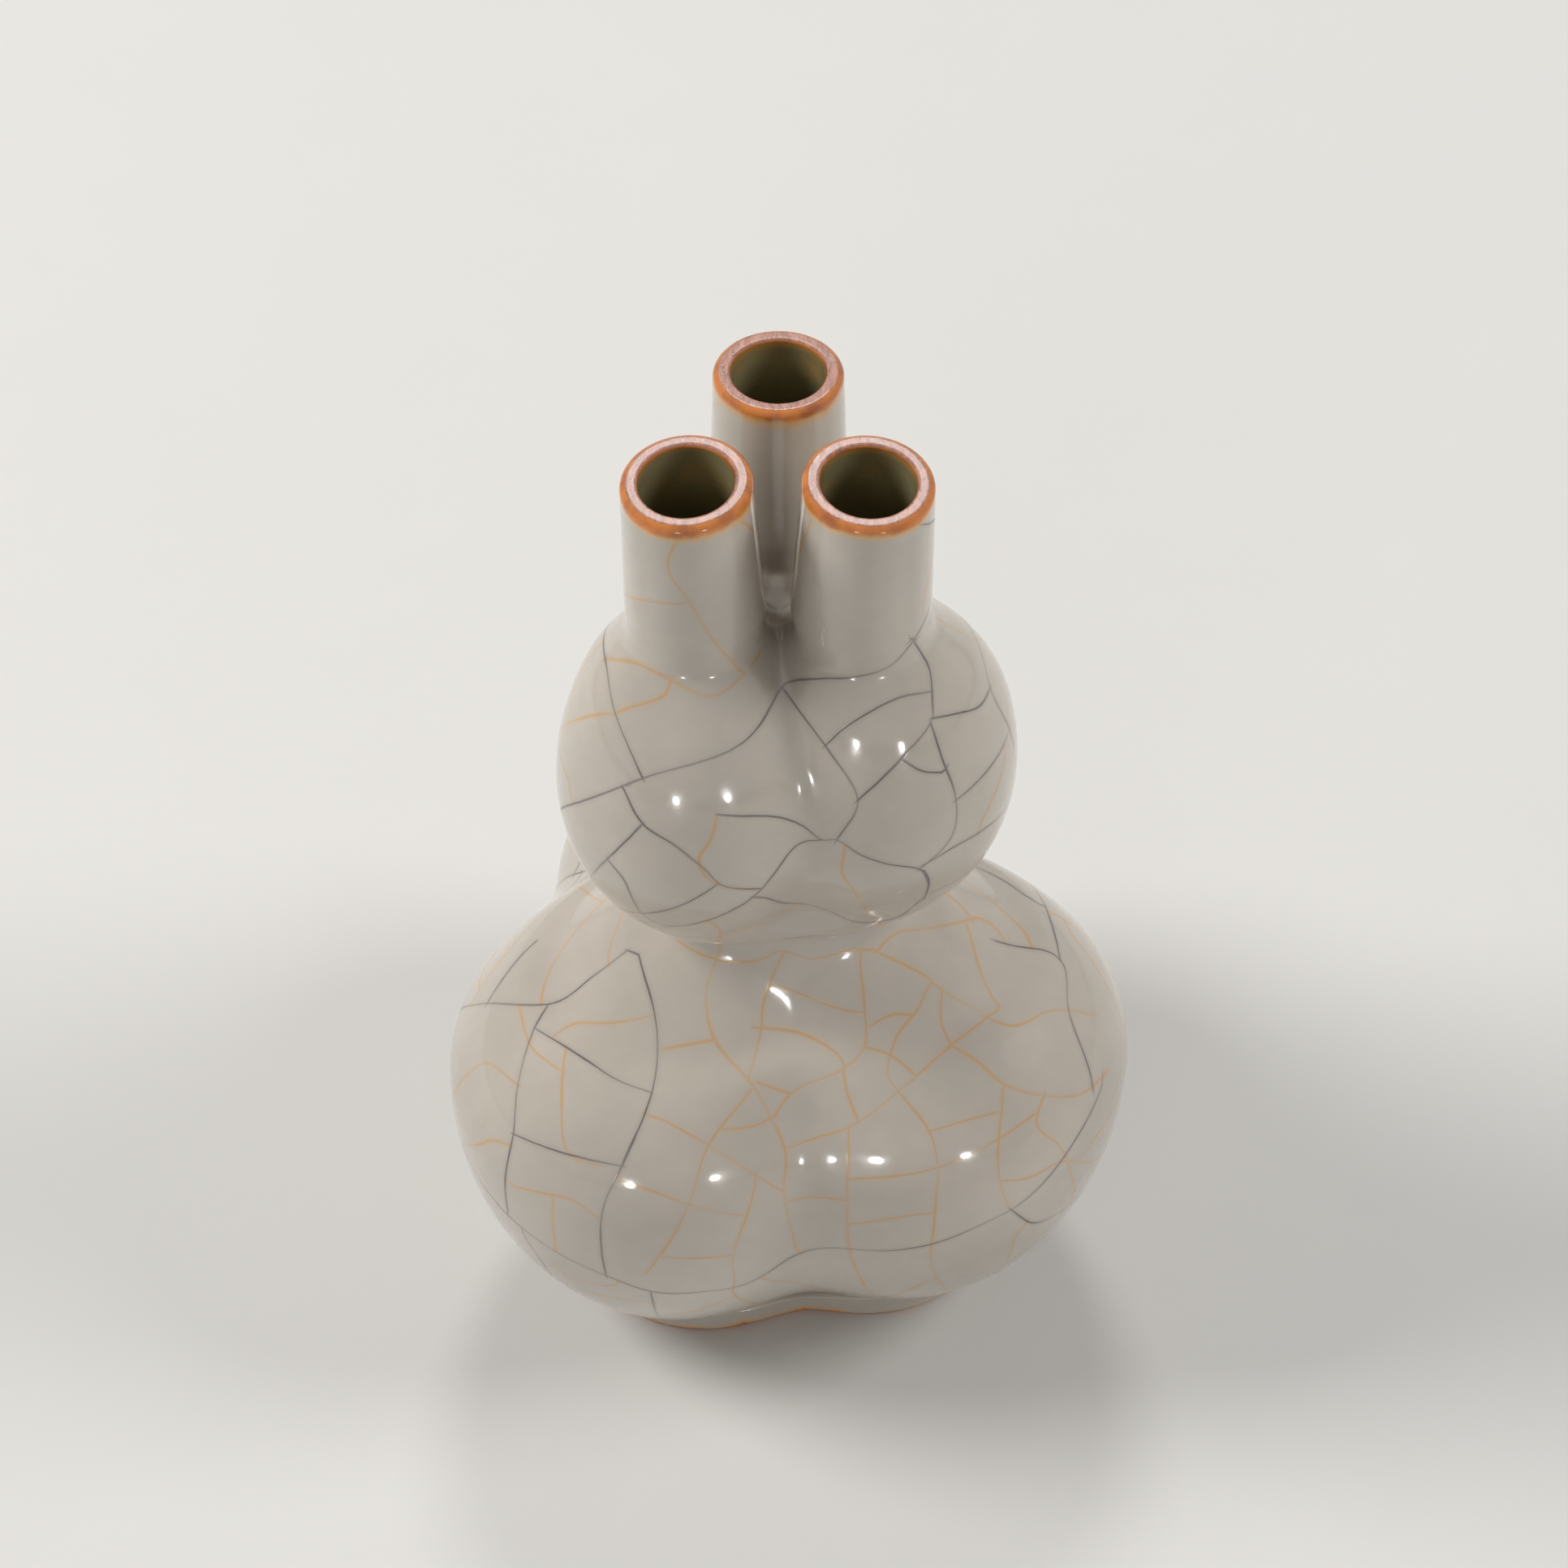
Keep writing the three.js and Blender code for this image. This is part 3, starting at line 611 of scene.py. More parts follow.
def points_behind_pixels(section, pixels):
    """Points of the outer face, from the bottle's axis, that the camera sees at these pixels."""
    focal = settings().stage.lens / SENSOR_WIDTH * PICTURE_WIDTH
    across, down = (np.array(pixels, float) - PICTURE_WIDTH / 2).T
    turned = np.array(camera_matrix().to_3x3())
    rays = units(np.column_stack([across, -down, np.full(len(across), -focal)]) @ turned.T)
    eye = np.array(CAMERA_PLACE) - axis_shift()

    def field_at(reach):
        x, y, z = np.moveaxis(eye + rays * reach[..., None], -1, 0)
        outside = (z < section.foot.height) | (z > section.lip_top)
        return np.where(outside, 1.0, section.field(x, y, z))

    near, far = (np.linalg.norm(eye) + span for span in SIGHT_SPAN)
    tries = np.linspace(near, far, SIGHT_STEPS)[:, None] * np.ones(len(rays))
    values = field_at(tries)
    hit = (values < 0).any(0)
    first = np.where(hit, (values < 0).argmax(0), values.argmin(0)).clip(1)
    column = np.arange(len(rays))
    before, after = tries[first - 1, column], tries[first, column]
    reach = np.where(hit, solve(before, after, lambda r: -field_at(r)), after)
    return section.settle(eye + rays * reach[:, None], 3)[0]


class CrackNetwork:
    """Cracks of the outer face, each of which runs on until it meets an older one."""

    def __init__(self, section, seed):
        self.section, self.cracks = section, []
        self.random = np.random.default_rng(seed)
        self.laid = np.zeros((0, 3))

    def add(self, points, gold):
        self.cracks.append((points, gold))
        self.laid = np.vstack([self.laid, points])

    def trace(self, pixels, gold):
        """A crack along a route in the camera's picture."""
        given = points_behind_pixels(self.section, pixels)
        span = np.linalg.norm(np.diff(given, axis=0), axis=1).sum()
        line = smooth_line(given, max(6, round(span / CRACK_STEP)))
        self.add(self.section.settle(line, 4)[0], gold)

    def lengthen(self, way_from):
        """Adds, to both ends of the cracks so far, the points that way_from finds there."""
        for index, (line, gold) in enumerate(self.cracks):
            others = np.vstack([other for k, (other, _) in enumerate(self.cracks) if k != index])
            for at_start in (True, False):
                end, before = (line[0], line[4]) if at_start else (line[-1], line[-5])
                way = way_from(end, unit(end - before), others)
                if len(way):
                    line = np.vstack([way[::-1], line] if at_start else [line, way])
                    self.laid = np.vstack([self.laid, way])
            self.cracks[index] = (line, gold)

    def join_ends(self, reach):
        """Leads the free ends of the cracks so far to the next crack nearby."""

        def way_from(end, heading, others):
            gap = np.linalg.norm(others - end, axis=1)
            ahead = (others - end) @ heading > AHEAD * gap
            near = (gap < reach) & (ahead | (gap < JOINED))
            if not near.any() or gap[near].min() <= CRACK_STEP:
                return []
            target = others[near][gap[near].argmin()]
            steps = max(1, round(float(gap[near].min()) / CRACK_STEP))
            return end + (target - end) * np.linspace(0, 1, steps + 1)[1:, None]

        self.lengthen(way_from)

    def run_on(self, longest, left_free):
        """Lets the free ends of the cracks so far grow on until they meet another crack."""

        def way_from(end, heading, others):
            joined = np.linalg.norm(others - end, axis=1).min() < JOINED
            return [] if joined or left_free(end[None])[0] else self.walk(end, heading, 0.0, longest)

        self.lengthen(way_from)

    def settled(self, point, times):
        """One point drawn onto the surface, and the outward direction there."""
        return (v[0] for v in self.section.settle(point[None], times))

    def nearest(self, point):
        gap = np.linalg.norm(self.laid - point, axis=1)
        index = int(gap.argmin())
        return gap[index], self.laid[index]

    def walk(self, start, heading, bend, longest):
        """Points of a crack that leaves start and stops on the first older one or on itself."""
        point, path, turned = start, [], 0.0
        low, high = self.section.foot.height + ABOVE_FOOT, self.section.lip_seam + ABOVE_LIP_SEAM
        for step in range(int(longest / CRACK_STEP)):
            point, away = self.settled(point + heading * CRACK_STEP, 1)
            if not low < point[2] < high:
                break
            own = path[: -4 * FRESH_STEPS]
            if own and np.linalg.norm(np.array(own) - point, axis=1).min() < JOINED:
                break
            path.append(point)
            gap, target = self.nearest(point)
            heading = unit(heading - away * heading.dot(away))
            bend = BEND_KEPT * bend - UNWINDING * turned + self.random.normal(0, WANDER)
            turned += bend
            heading = heading * math.cos(bend) + np.cross(away, heading) * math.sin(bend)
            if step > FRESH_STEPS and gap < PULL_REACH:
                toward = (target - point) / max(gap, TINY)
                if heading.dot(toward) > PULL_FACING:
                    heading = unit(heading + PULL * toward)
                if gap < MET:
                    path.append(target)
                    break
        return path

    def grow(self, sites, cell, longest, gold, most, kept_clear):
        """Splits the widest empty places until none is wider than a cell."""
        gap = narrowed(np.full(len(sites), 1.0), sites, self.laid)
        wanted = cell * self.random.uniform(*CELL_SPREAD, len(sites))
        for _ in range(most):
            site = int((gap / wanted).argmax())
            if gap[site] < wanted[site]:
                break
            start, away = self.settled(sites[site], 2)
            heading = self.nearest(start)[1] - start
            heading = heading + self.random.normal(0, FIRST_SWERVE, 3) * np.linalg.norm(heading)
            heading = unit(heading - away * heading.dot(away))
            bend = self.random.normal(0, FIRST_BEND)
            there = self.walk(start, heading, bend, longest)
            back = self.walk(start, -heading, -bend, longest)
            line = np.array(back[::-1] + [start] + there)
            if len(line) > SHORTEST_CRACK and not kept_clear(line).any():
                self.add(line, gold)
                gap = narrowed(gap, sites, line)
            else:
                gap[site] = 0


def narrowed(gap, sites, points):
    """Distance of each site to the nearest crack, once more points are laid."""
    for at in range(0, len(points), SITE_BLOCK):
        apart = np.linalg.norm(sites[:, None] - points[None, at : at + SITE_BLOCK], axis=2)
        gap = np.minimum(gap, apart.min(1))
    return gap


@functools.cache
def crack_network():
    """All cracks of the outer face, from the bottle's axis."""
    section, look = faces_of_wall()[0], settings().crackle
    network = CrackNetwork(section, look.seed)
    for routes, gold in ((DARK_ROUTES, 0.0), (GOLD_ROUTES, 1.0)):
        for route in routes:
            network.trace(route, gold)
    network.join_ends(JOIN_REACH)
    shoulder = section.height_where(CLOSED_RATIO)
    heights = np.arange(section.height_where(NECK_RATIO), section.lip_seam, SITE_PITCH)
    rings = [section.body_rings(section.levels(section.foot.height + ABOVE_FOOT, shoulder, SITE_PITCH))]
    rings += [section.neck_rings(lobe, heights) for lobe in range(len(LOBES))]
    sites = np.vstack([ring[:, ::SITE_COLUMNS].reshape(-1, 3) for ring in rings])
    sites = sites[network.random.permutation(len(sites))]
    eye = np.array(CAMERA_PLACE) - axis_shift()

    def on_front(at):
        forward = (at[:, 1] < FRONT_START) | (at[:, 2] > shoulder)
        return forward & ((section.settle(at)[1] * units(eye - at)).sum(1) > FRONT_FACING)

    def on_upper_front(at):
        return on_front(at) & (at[:, 2] > section.waist_height - FINE_FROM)

    network.run_on(END_RUN, on_front)
    network.grow(sites, look.dark_cell, DARK_RUN, 0.0, MOST_DARK, on_front)
    network.grow(sites, look.gold_cell, GOLD_RUN, 1.0, MOST_GOLD, on_upper_front)
    return network.cracks


def lay_cracks(mesh, points, faces, skip):
    """Writes, on every face corner, the signed distance to the cracks that pass the face."""
    corners = faces.ravel()
    face_of_corner = np.repeat(np.arange(len(faces)), faces.shape[1])
    slots = [np.tile(np.array([NO_CRACK, 0.0, 0.0], np.float32), (len(corners), 1)) for _ in LINE_SLOTS]
    middle = points[faces].mean(1)
    filled = np.where(skip, len(LINE_SLOTS), 0)
    section = faces_of_wall()[0]
    for line, gold in crack_network():
        low, high = line.min(0) - LINE_REACH, line.max(0) + LINE_REACH
        near = np.flatnonzero(((middle > low) & (middle < high)).all(1) & (filled < len(LINE_SLOTS)))
        if len(near):
            near = near[distance_to(line, middle[near])[0] < LINE_REACH]
        if not len(near):
            continue
        at = np.flatnonzero(np.isin(face_of_corner, near))
        distance, along, beyond = signed_distance(section, line, points[corners[at]])
        pulse = LINE_LOW + (1 - LINE_LOW) * np.sin(along / LINE_PULSE)
        strength = np.clip(LINE_FULL - beyond / LINE_TAIL, 0, 1) * pulse
        for slot, store in enumerate(slots):
            here = filled[face_of_corner[at]] == slot
            store[at[here]] = np.stack([distance[here] / MM, strength[here], np.full(here.sum(), gold)], 1)
        filled[near] += 1
    for name, store in zip(LINE_SLOTS, slots):
        attribute = mesh.attributes.new(name, "FLOAT_VECTOR", "CORNER")
        attribute.data.foreach_set("vector", store.ravel())


def distance_to(line, places):
    """Distance of each place to a line of points, and the nearest stretch of the line."""
    start, step = line[:-1], np.diff(line, axis=0)
    size = (step**2).sum(1).clip(TINY**2)
    best = np.full(len(places), np.inf)
    stretch = np.zeros(len(places), int)
    share_at = np.zeros(len(places))
    for k in range(len(start)):
        t = ((places - start[k]) @ step[k]) / size[k]
        held = np.clip(t, 0, 1)
        gap = np.linalg.norm(places - start[k] - held[:, None] * step[k], axis=1)
        closer = gap < best
        best[closer], stretch[closer], share_at[closer] = gap[closer], k, t[closer]
    return best, stretch, share_at


def signed_distance(section, line, places):
    """Distance to a line on the surface with its side as sign, the place along, and overshoot."""
    _, stretch, t = distance_to(line, places)
    step = np.diff(line, axis=0)
    long = np.linalg.norm(step, axis=1).clip(TINY)
    ahead = (step / long[:, None])[stretch]
    away = section.settle(places)[1]
    side = np.cross(away, ahead)
    side /= np.linalg.norm(side, axis=1, keepdims=True).clip(TINY)
    last = len(step) - 1
    ended = ((stretch == 0) & (t < 0)) | ((stretch == last) & (t > 1))
    held = np.where(ended, t, np.clip(t, 0, 1))
    offset = places - line[stretch] - held[:, None] * step[stretch]
    sideways = (offset * side).sum(1)
    full = np.linalg.norm(offset, axis=1)
    distance = np.where(ended, sideways, np.sign(sideways) * full)
    beyond = np.where(ended, np.where(t < 0, -t, t - 1) * long[stretch], 0.0)
    return distance, (stretch + np.clip(t, 0, 1)) * CRACK_STEP, beyond


# ---- meshes

# Rings up the foot's flare and the lip's side, and those that close a flat floor, as shares of it.
FLARE_RINGS = 6
LIP_SIDE_RINGS = 6
LID_SIZES = (0.9, 0.75, 0.55, 0.35, 0.15, 0.03)
# Places of a neck's rings between the parting of the shoulder and the neck's seam.
ROOT_SHARES, ROOT_SPREAD, ROOT_RINGS = (0, 0.06, 0.14), 0.24, 9
# Places of the rings on the foot's sides, as shares of its height.
FOOT_SHARES = (0.3, 0.5, 0.75, 1.0)
# Share of the mouth's lean that the lip's sides take.
SIDE_LEAN = 0.8
# Shares of the roundings that are bare clay, and of the rust's reach on the lips and the foot.
BARE_OUTSIDE, BARE_INSIDE, BARE_TREAD = 0.05, 0.4, 0.4
LIP_RUST, FOOT_RUST = 1.0, 0.45


class Skin:
    """Collects rings of points and the bands between them into one closed mesh."""

    def __init__(self):
        self.points, self.normals, self.drops, self.bare = [], [], [], []
        self.faces, self.slots, self.count = [], [], 0

    def ring(self, points, normals=None, drop=FAR_FROM_RIM, bare=0.0):
        """Adds points with their shading, depth below the rim and bareness."""
        points = np.asarray(points, float)
        index = np.arange(self.count, self.count + len(points))
        self.count += len(points)
        self.points.append(points)
        self.normals.append(np.full(points.shape, np.nan) if normals is None else normals)
        self.drops.append(np.broadcast_to(drop, len(points)))
        self.bare.append(np.full(len(points), bare))
        return index

    def rings(self, section, rings):
        """Adds rings of one face of the wall."""
        made = []
        for points in rings:
            high = points[:, 2].max() > section.neck_seam
            drop = (section.lip_top - points[:, 2]) / MM if high else FAR_FROM_RIM
            made.append(self.ring(points, section.normals(points), drop))
        return made

    def fill(self, quads, slot):
        self.faces.append(np.array(quads))
        self.slots.append(np.full(len(quads), slot))

    def band(self, lower, upper, slot=GLAZE):
        self.fill(np.stack([lower, np.roll(lower, -1), np.roll(upper, -1), upper], 1), slot)

    def stack(self, rings, slot=GLAZE):
        for lower, upper in zip(rings[:-1], rings[1:]):
            self.band(lower, upper, slot)

    def wall(self, outside, inside, open_below=True):
        """Both faces of a stretch of wall, and its seams above and below."""
        self.stack(outside)
        self.stack(inside[::-1], BORE)
        self.band(outside[-1], inside[-1], BORE)
        if open_below:
            self.band(inside[0], outside[0], BORE)

    def disc(self, ring, up):
        """Flat lid over a ring, in rings that shrink to a small middle."""
        edge = np.vstack(self.points)[ring]
        middle = np.array([0.0, 0.0, edge[0, 2]])
        away = np.tile([0, 0, 1.0 if up else -1.0], (len(ring), 1))
        for size in LID_SIZES:
            inside = self.ring(middle + (edge - middle) * size, away)
            self.band(*((ring, inside) if up else (inside, ring)), BORE)
            ring = inside
        ring = ring if up else ring[::-1]
        half = len(ring) // 2
        self.fill([[ring[k], ring[k + 1], ring[-k - 2], ring[-k - 1]] for k in range(half - 1)], BORE)

    def piece(self, node, outside=None):
        """Makes the object that stands for the solid of the same name."""
        points = np.vstack(self.points)
        faces = np.vstack(self.faces)
        kinds = np.concatenate(self.slots)
        mesh = bpy.data.meshes.new(node)
        mesh.vertices.add(len(points))
        mesh.vertices.foreach_set("co", (points + axis_shift()).ravel())
        mesh.loops.add(faces.size)
        mesh.loops.foreach_set("vertex_index", faces.ravel().astype(np.int32))
        mesh.polygons.add(len(faces))
        mesh.polygons.foreach_set("loop_start", np.arange(0, faces.size, faces.shape[1], dtype=np.int32))
        mesh.polygons.foreach_set("material_index", kinds.astype(np.int32))
        mesh.update(calc_edges=True)
        mesh.validate()
        mesh.shade_smooth()
        lay_cracks(mesh, points, faces, kinds == BORE)
        for key, values in (("rim_drop", self.drops), ("bare", self.bare)):
            attribute = mesh.attributes.new(key, "FLOAT", "POINT")
            attribute.data.foreach_set("value", np.concatenate(values).astype(np.float32))
        self.shade(mesh)
        mesh.materials.append(outside or glaze_material())
        mesh.materials.append(bore_material())
        made = bpy.data.objects.new(node, mesh)
        bpy.context.scene.collection.objects.link(made)
        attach(made, "root")
        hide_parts(node)

    def shade(self, mesh):
        """Gives the wall the shading of its exact surface, so that no seam shows."""
        normals = np.zeros(len(mesh.vertices) * 3, np.float32)
        mesh.vertex_normals.foreach_get("vector", normals)
        normals = normals.reshape(-1, 3)
        exact = np.vstack(self.normals)
        known = ~np.isnan(exact[:, 0])
        normals[known] = exact[known]
        mesh.normals_split_custom_set_from_vertices(normals.tolist())


def wall_piece(node, low, high):
    """Plain stretch of wall between two seams."""
    skin = Skin()
    outside, inside = (
        skin.rings(face, face.body_rings(face.levels(low, high, pitch)))
        for face, pitch in zip(faces_of_wall(), (RING_PITCH, INSIDE_PITCH))
    )
    skin.wall(outside, inside)
    skin.piece(node)


def make_bowl(node):
    outer, inner = faces_of_wall()
    skin = Skin()
    flare = np.linspace(outer.foot.height, outer.flare_top, FLARE_RINGS + 1)[:-1]
    heights = np.concatenate([flare, outer.levels(outer.flare_top, outer.lower_middle, RING_PITCH)])
    outside = skin.rings(outer, outer.body_rings(heights))
    heights = inner.levels(inner.floor_height, inner.lower_middle, INSIDE_PITCH)
    inside = skin.rings(inner, inner.body_rings(heights))
    skin.wall(outside, inside, open_below=False)
    skin.disc(outside[0], False)
    skin.disc(inside[0], True)
    skin.piece(node)


def branch(skin, section, slot):
    """Shoulder surface from the closed outline up to three separate neck outlines."""
    joined = section.height_where(CLOSED_RATIO)
    bridge = (section.neck.softness * math.log(2) + PARTING_GAP) / section.neck.root_offset
    parted = section.height_where(math.sin(math.pi / len(LOBES)) - bridge)
    pitch, patch_rings = (INSIDE_PITCH, INSIDE_PATCH_RINGS) if section.inner else (RING_PITCH, PATCH_RINGS)
    body = skin.rings(section, section.body_rings(section.levels(section.upper_middle, joined, pitch)))

    def stack(rings):
        skin.stack(rings[::-1] if section.inner else rings, slot)

    def lay(xy):
        """Points on the shoulder above the given places in plan."""
        z = solve(joined, parted, lambda z: section.field(*xy.T, z))
        points = np.column_stack([xy, z])
        return skin.ring(points, section.normals(points))

    stack(body)
    edge = body[-1]
    edge_points = skin.points[-1]
    centre = lay(np.zeros((1, 2)))
    # A ridge runs out between two necks, over the saddle, and then bends to the body's column.
    twist = section.upper.turn - float(through_knots(section.turn_knots, parted))
    shares = np.arange(1, RIDGE_STEPS) / RIDGE_STEPS
    back = twist * np.minimum(1, (1 - shares) / (1 - RIDGE_BEND))
    ridges = []
    for x, y in edge_points[::LOBE_COLUMNS, :2]:
        turned = np.column_stack([x * np.cos(back) + y * np.sin(back), y * np.cos(back) - x * np.sin(back)])
        ridges.append(np.concatenate([centre, lay(turned * shares[:, None])]))
    tops = []
    for lobe in range(len(LOBES)):
        arc = edge[(LOBE_COLUMNS * lobe + np.arange(LOBE_COLUMNS + 1)) % COLUMNS]
        boundary = np.concatenate([ridges[lobe], arc, ridges[(lobe + 1) % len(LOBES)][:0:-1]])
        start = np.vstack(skin.points)[boundary, :2]
        shares = np.concatenate([ROOT_SHARES, np.linspace(ROOT_SPREAD, 1, ROOT_RINGS)])
        rings = section.neck_rings(lobe, parted + (section.neck_seam - parted) * shares)
        inward = np.linspace(0, 1, patch_rings + 2)[1:-1]
        patch = [lay(start * (1 - t) + rings[0][:, :2] * t) for t in inward]
        neck = skin.rings(section, rings)
        stack([boundary, *patch, *neck])
        tops.append(neck[-1])
    return body[0], tops


def make_shoulder(node):
    outer, inner = faces_of_wall()
    skin = Skin()
    outer_base, outer_tops = branch(skin, outer, GLAZE)
    inner_base, inner_tops = branch(skin, inner, BORE)
    skin.band(inner_base, outer_base, BORE)
    for outside, inside in zip(outer_tops, inner_tops):
        skin.band(outside, inside, BORE)
    skin.piece(node)


def make_neck(lobe):
    outer, inner = faces_of_wall()
    skin = Skin()
    count = round((outer.lip_seam - outer.neck_seam) / RING_PITCH)
    heights = np.linspace(outer.neck_seam, outer.lip_seam, count + 1)
    outside = skin.rings(outer, outer.neck_rings(lobe, heights))
    inside = skin.rings(inner, inner.neck_rings(lobe, heights[::2] if count % 2 == 0 else heights))
    skin.wall(outside, inside)
    skin.piece(f"neck_{LOBES[lobe]}")


def quarter_round(radius, steps):
    """(step in from the side, drop below the flat) from the side up to the flat."""
    angles = np.linspace(0, math.pi / 2, steps + 1)
    return [(radius * (1 - math.cos(a)), radius * (1 - math.sin(a))) for a in angles]


def make_lip(lobe):
    outer, inner = faces_of_wall()
    neck, top = outer.neck, outer.lip_top
    centre = np.array(outer.lobe_centre(lobe, top))
    lean = math.tan(neck.lip_lean) * unit(centre)
    skin = Skin()

    def place(section, z, change, lean_share, bare=False):
        """Ring at a height, widened by a change, that leans outward with the mouth."""
        ring = section.neck_rings(lobe, z)[0]
        away = ring[:, :2] - centre
        away *= (1 + change / np.linalg.norm(away, axis=1))[:, None]
        ring[:, :2] = centre + away
        ring[:, 2] -= lean_share * (away @ lean)
        exact = section.normals(ring) if lean_share == 0 else None
        return skin.ring(ring, exact, (top - z) / MM, float(bare))

    side = np.linspace(0, 1, LIP_SIDE_RINGS)
    climb = outer.lip_seam + (top - 2 * neck.lip_outer_round - outer.lip_seam) * side
    outside = [place(outer, z, 0, SIDE_LEAN * t) for z, t in zip(climb, side)]
    outside += [
        place(outer, top - fall, -step, 1, fall < BARE_OUTSIDE * neck.lip_outer_round)
        for step, fall in quarter_round(neck.lip_outer_round, 9)
    ]
    flat = neck.wall - neck.lip_outer_round - neck.lip_inner_round
    outside += [
        place(outer, top, -neck.lip_outer_round - flat * t, 1, True) for t in np.linspace(0.06, 0.94, 5)
    ]
    rounding = [
        place(inner, top - fall, step, 1, fall < BARE_INSIDE * neck.lip_inner_round)
        for step, fall in quarter_round(neck.lip_inner_round, 6)[::-1]
    ]
    inside = [place(inner, z, 0, SIDE_LEAN * t) for z, t in zip(climb[::-1], side[::-1])]
    skin.stack(outside + rounding)
    skin.stack([rounding[-1], *inside], BORE)
    skin.band(inside[-1], outside[0], BORE)
    skin.piece(f"mouth_lip_{LOBES[lobe]}", edged_material("rusty lip", LIP_RUST))


def make_foot():
    outer = faces_of_wall()[0]
    foot = outer.foot
    inside = foot.crown_radius - foot.width
    edge = quarter_round(foot.edge_round, 5)
    section = [(inside - foot.taper * t, foot.height * t) for t in FOOT_SHARES[::-1]]
    section += [(inside + step, rise) for step, rise in edge]
    section += [(foot.crown_radius - foot.width / 2, 0)]
    section += [(foot.crown_radius - step, rise) for step, rise in edge[::-1]]
    section += [(foot.crown_radius - foot.taper * t, foot.height * t) for t in FOOT_SHARES]
    skin = Skin()
    core = outer.waist.core_radius - foot.width
    rings = []
    for crown, z in section:
        bare = float(z < BARE_TREAD * foot.edge_round)
        rings.append(skin.ring(outer.body_rings(z, crown=crown, core=core)[0], None, z / MM, bare))
    skin.stack([*rings, rings[0]])
    skin.piece("foot_ring", edged_material("foot glaze", FOOT_RUST))


# ---- node helpers


class Nodes:
    """A node tree whose nodes are added, set and linked in one call."""

    def __init__(self, tree):
        self.tree = tree

    def put(self, socket, value):
        """Links an output, or sets a plain value."""
        if isinstance(value, bpy.types.NodeSocket):
            self.tree.links.new(value, socket)
        elif socket.type == "RGBA" and not isinstance(value, (int, float)):
            socket.default_value = (*value[:3], 1.0)
        else:
            socket.default_value = value

    def add(self, kind, values=None, **options):
        """Adds a node and gives its outputs."""
        node = self.tree.nodes.new(f"ShaderNode{kind}")
        for key, value in options.items():
            setattr(node, key, value)
        for socket, value in (values or {}).items():
            self.put(node.inputs[socket], value)
        return node.outputs

    def maths(self, operation, *values):
        return self.add("Math", dict(enumerate(values)), operation=operation)[0]

    def plus(self, a, b):
        return self.maths("ADD", a, b)

    def minus(self, a, b):
        return self.maths("SUBTRACT", a, b)

    def times(self, a, b):
        return self.maths("MULTIPLY", a, b)

    def most(self, a, b):
        return self.maths("MAXIMUM", a, b)

    def blend(self, amount, a, b, mode="MIX"):
        return self.add("Mix", {0: amount, 6: a, 7: b}, data_type="RGBA", blend_type=mode)[2]

    def fade(self, value, low, high, start=0.0, end=1.0):
        """Smooth change of a value between two bounds."""
        values = dict(enumerate((value, low, high, start, end)))
        return self.add("MapRange", values, interpolation_type="SMOOTHSTEP")[0]

    def noise(self, place, scale, detail, roughness, distortion=0.0):
        values = {"Vector": place, "Scale": scale, "Detail": detail, "Roughness": roughness}
        return self.add("TexNoise", {**values, "Distortion": distortion})[0]

    def ripple(self, place, pattern, height):
        """Noise of a height that goes as far up as down."""
        return self.times(self.minus(self.noise(place, *pattern), 0.5), height)

    def attribute(self, name, output="Fac"):
        return self.add("Attribute", attribute_name=name)[output]

    def bump(self, height, strength, distance):
        return self.add("Bump", {"Height": height, "Strength": strength, "Distance": distance})["Normal"]


def new_group(name, inputs, outputs):
    """Node group with named sockets, each given as (name, kind, default)."""
    tree = bpy.data.node_groups.new(name, "ShaderNodeTree")
    for direction, sockets in (("INPUT", inputs), ("OUTPUT", outputs)):
        for title, kind, default in sockets:
            socket = tree.interface.new_socket(name=title, in_out=direction, socket_type=f"NodeSocket{kind}")
            if default is not None:
                socket.default_value = default
    return Nodes(tree), tree.nodes.new("NodeGroupInput").outputs, tree.nodes.new("NodeGroupOutput").inputs


def floats(*names):
    return [(name, "Float", None) for name in names]


# ---- shader node groups

# Each pattern: how many marks lie along a metre, their detail, roughness and distortion.
CRACK_DRIFT, CRACK_SWELL = (420.0, 2.0, 0.5), (130.0, 2.0, 0.5)
MOTTLE, WAVES, PEEL = (260.0, 3.0, 0.6), (55.0, 1.0, 0.5), (520.0, 1.0, 0.5)
CLOUDS, BORE_CLOUDS, CLOUD_DETAIL = 28.0, 60.0, (3.0, 0.55)
BUBBLES, BUBBLE_SWARMS = 900.0, (150.0, 1.0, 0.5)
RAGGED_EDGE, EDGE_WAVES, BARE_EDGE = (300.0, 3.0, 0.6), (70.0, 1.0, 0.5), (900.0, 3.0, 0.65)
BURNS, CLAY_GRAIN = (190.0, 3.0, 0.6), (850.0, 5.0, 0.7, 0.8)
BORE_RUNS, FLOOR_GRAIN = (75.0, 2.0, 0.5), (40.0, 2.0, 0.5)
CLAY_STRETCH = (1.0, 0.35, 1.0)

# Each fade: where it starts and ends, and the values there if they aren't 0 and 1.
STAIN_FADE = (0.1, 1.3, 1.0, 0.0)
SWELL_FADE, VEIL_FADE, PIN_FADE = (0.3, 0.7, 0.7, 1.25), (0.35, 0.75, 0.985, 1.02), (0.04, 0.11, 1.0, 0.0)
CLOUD_FADE, SWARM_FADE, GLOSS_FADE = (0.3, 0.72), (0.66, 0.72), (0.3, 0.8)
BURN_FADE, BARE_FADE = (0.36, 0.78), (0.62, 0.84)

# Height of the edge's waves in millimetres, and of its marks in the bare clay.
RAGGED_HEIGHT, WAVE_HEIGHT, BARE_HEIGHT = 1.6, 2.6, 0.5
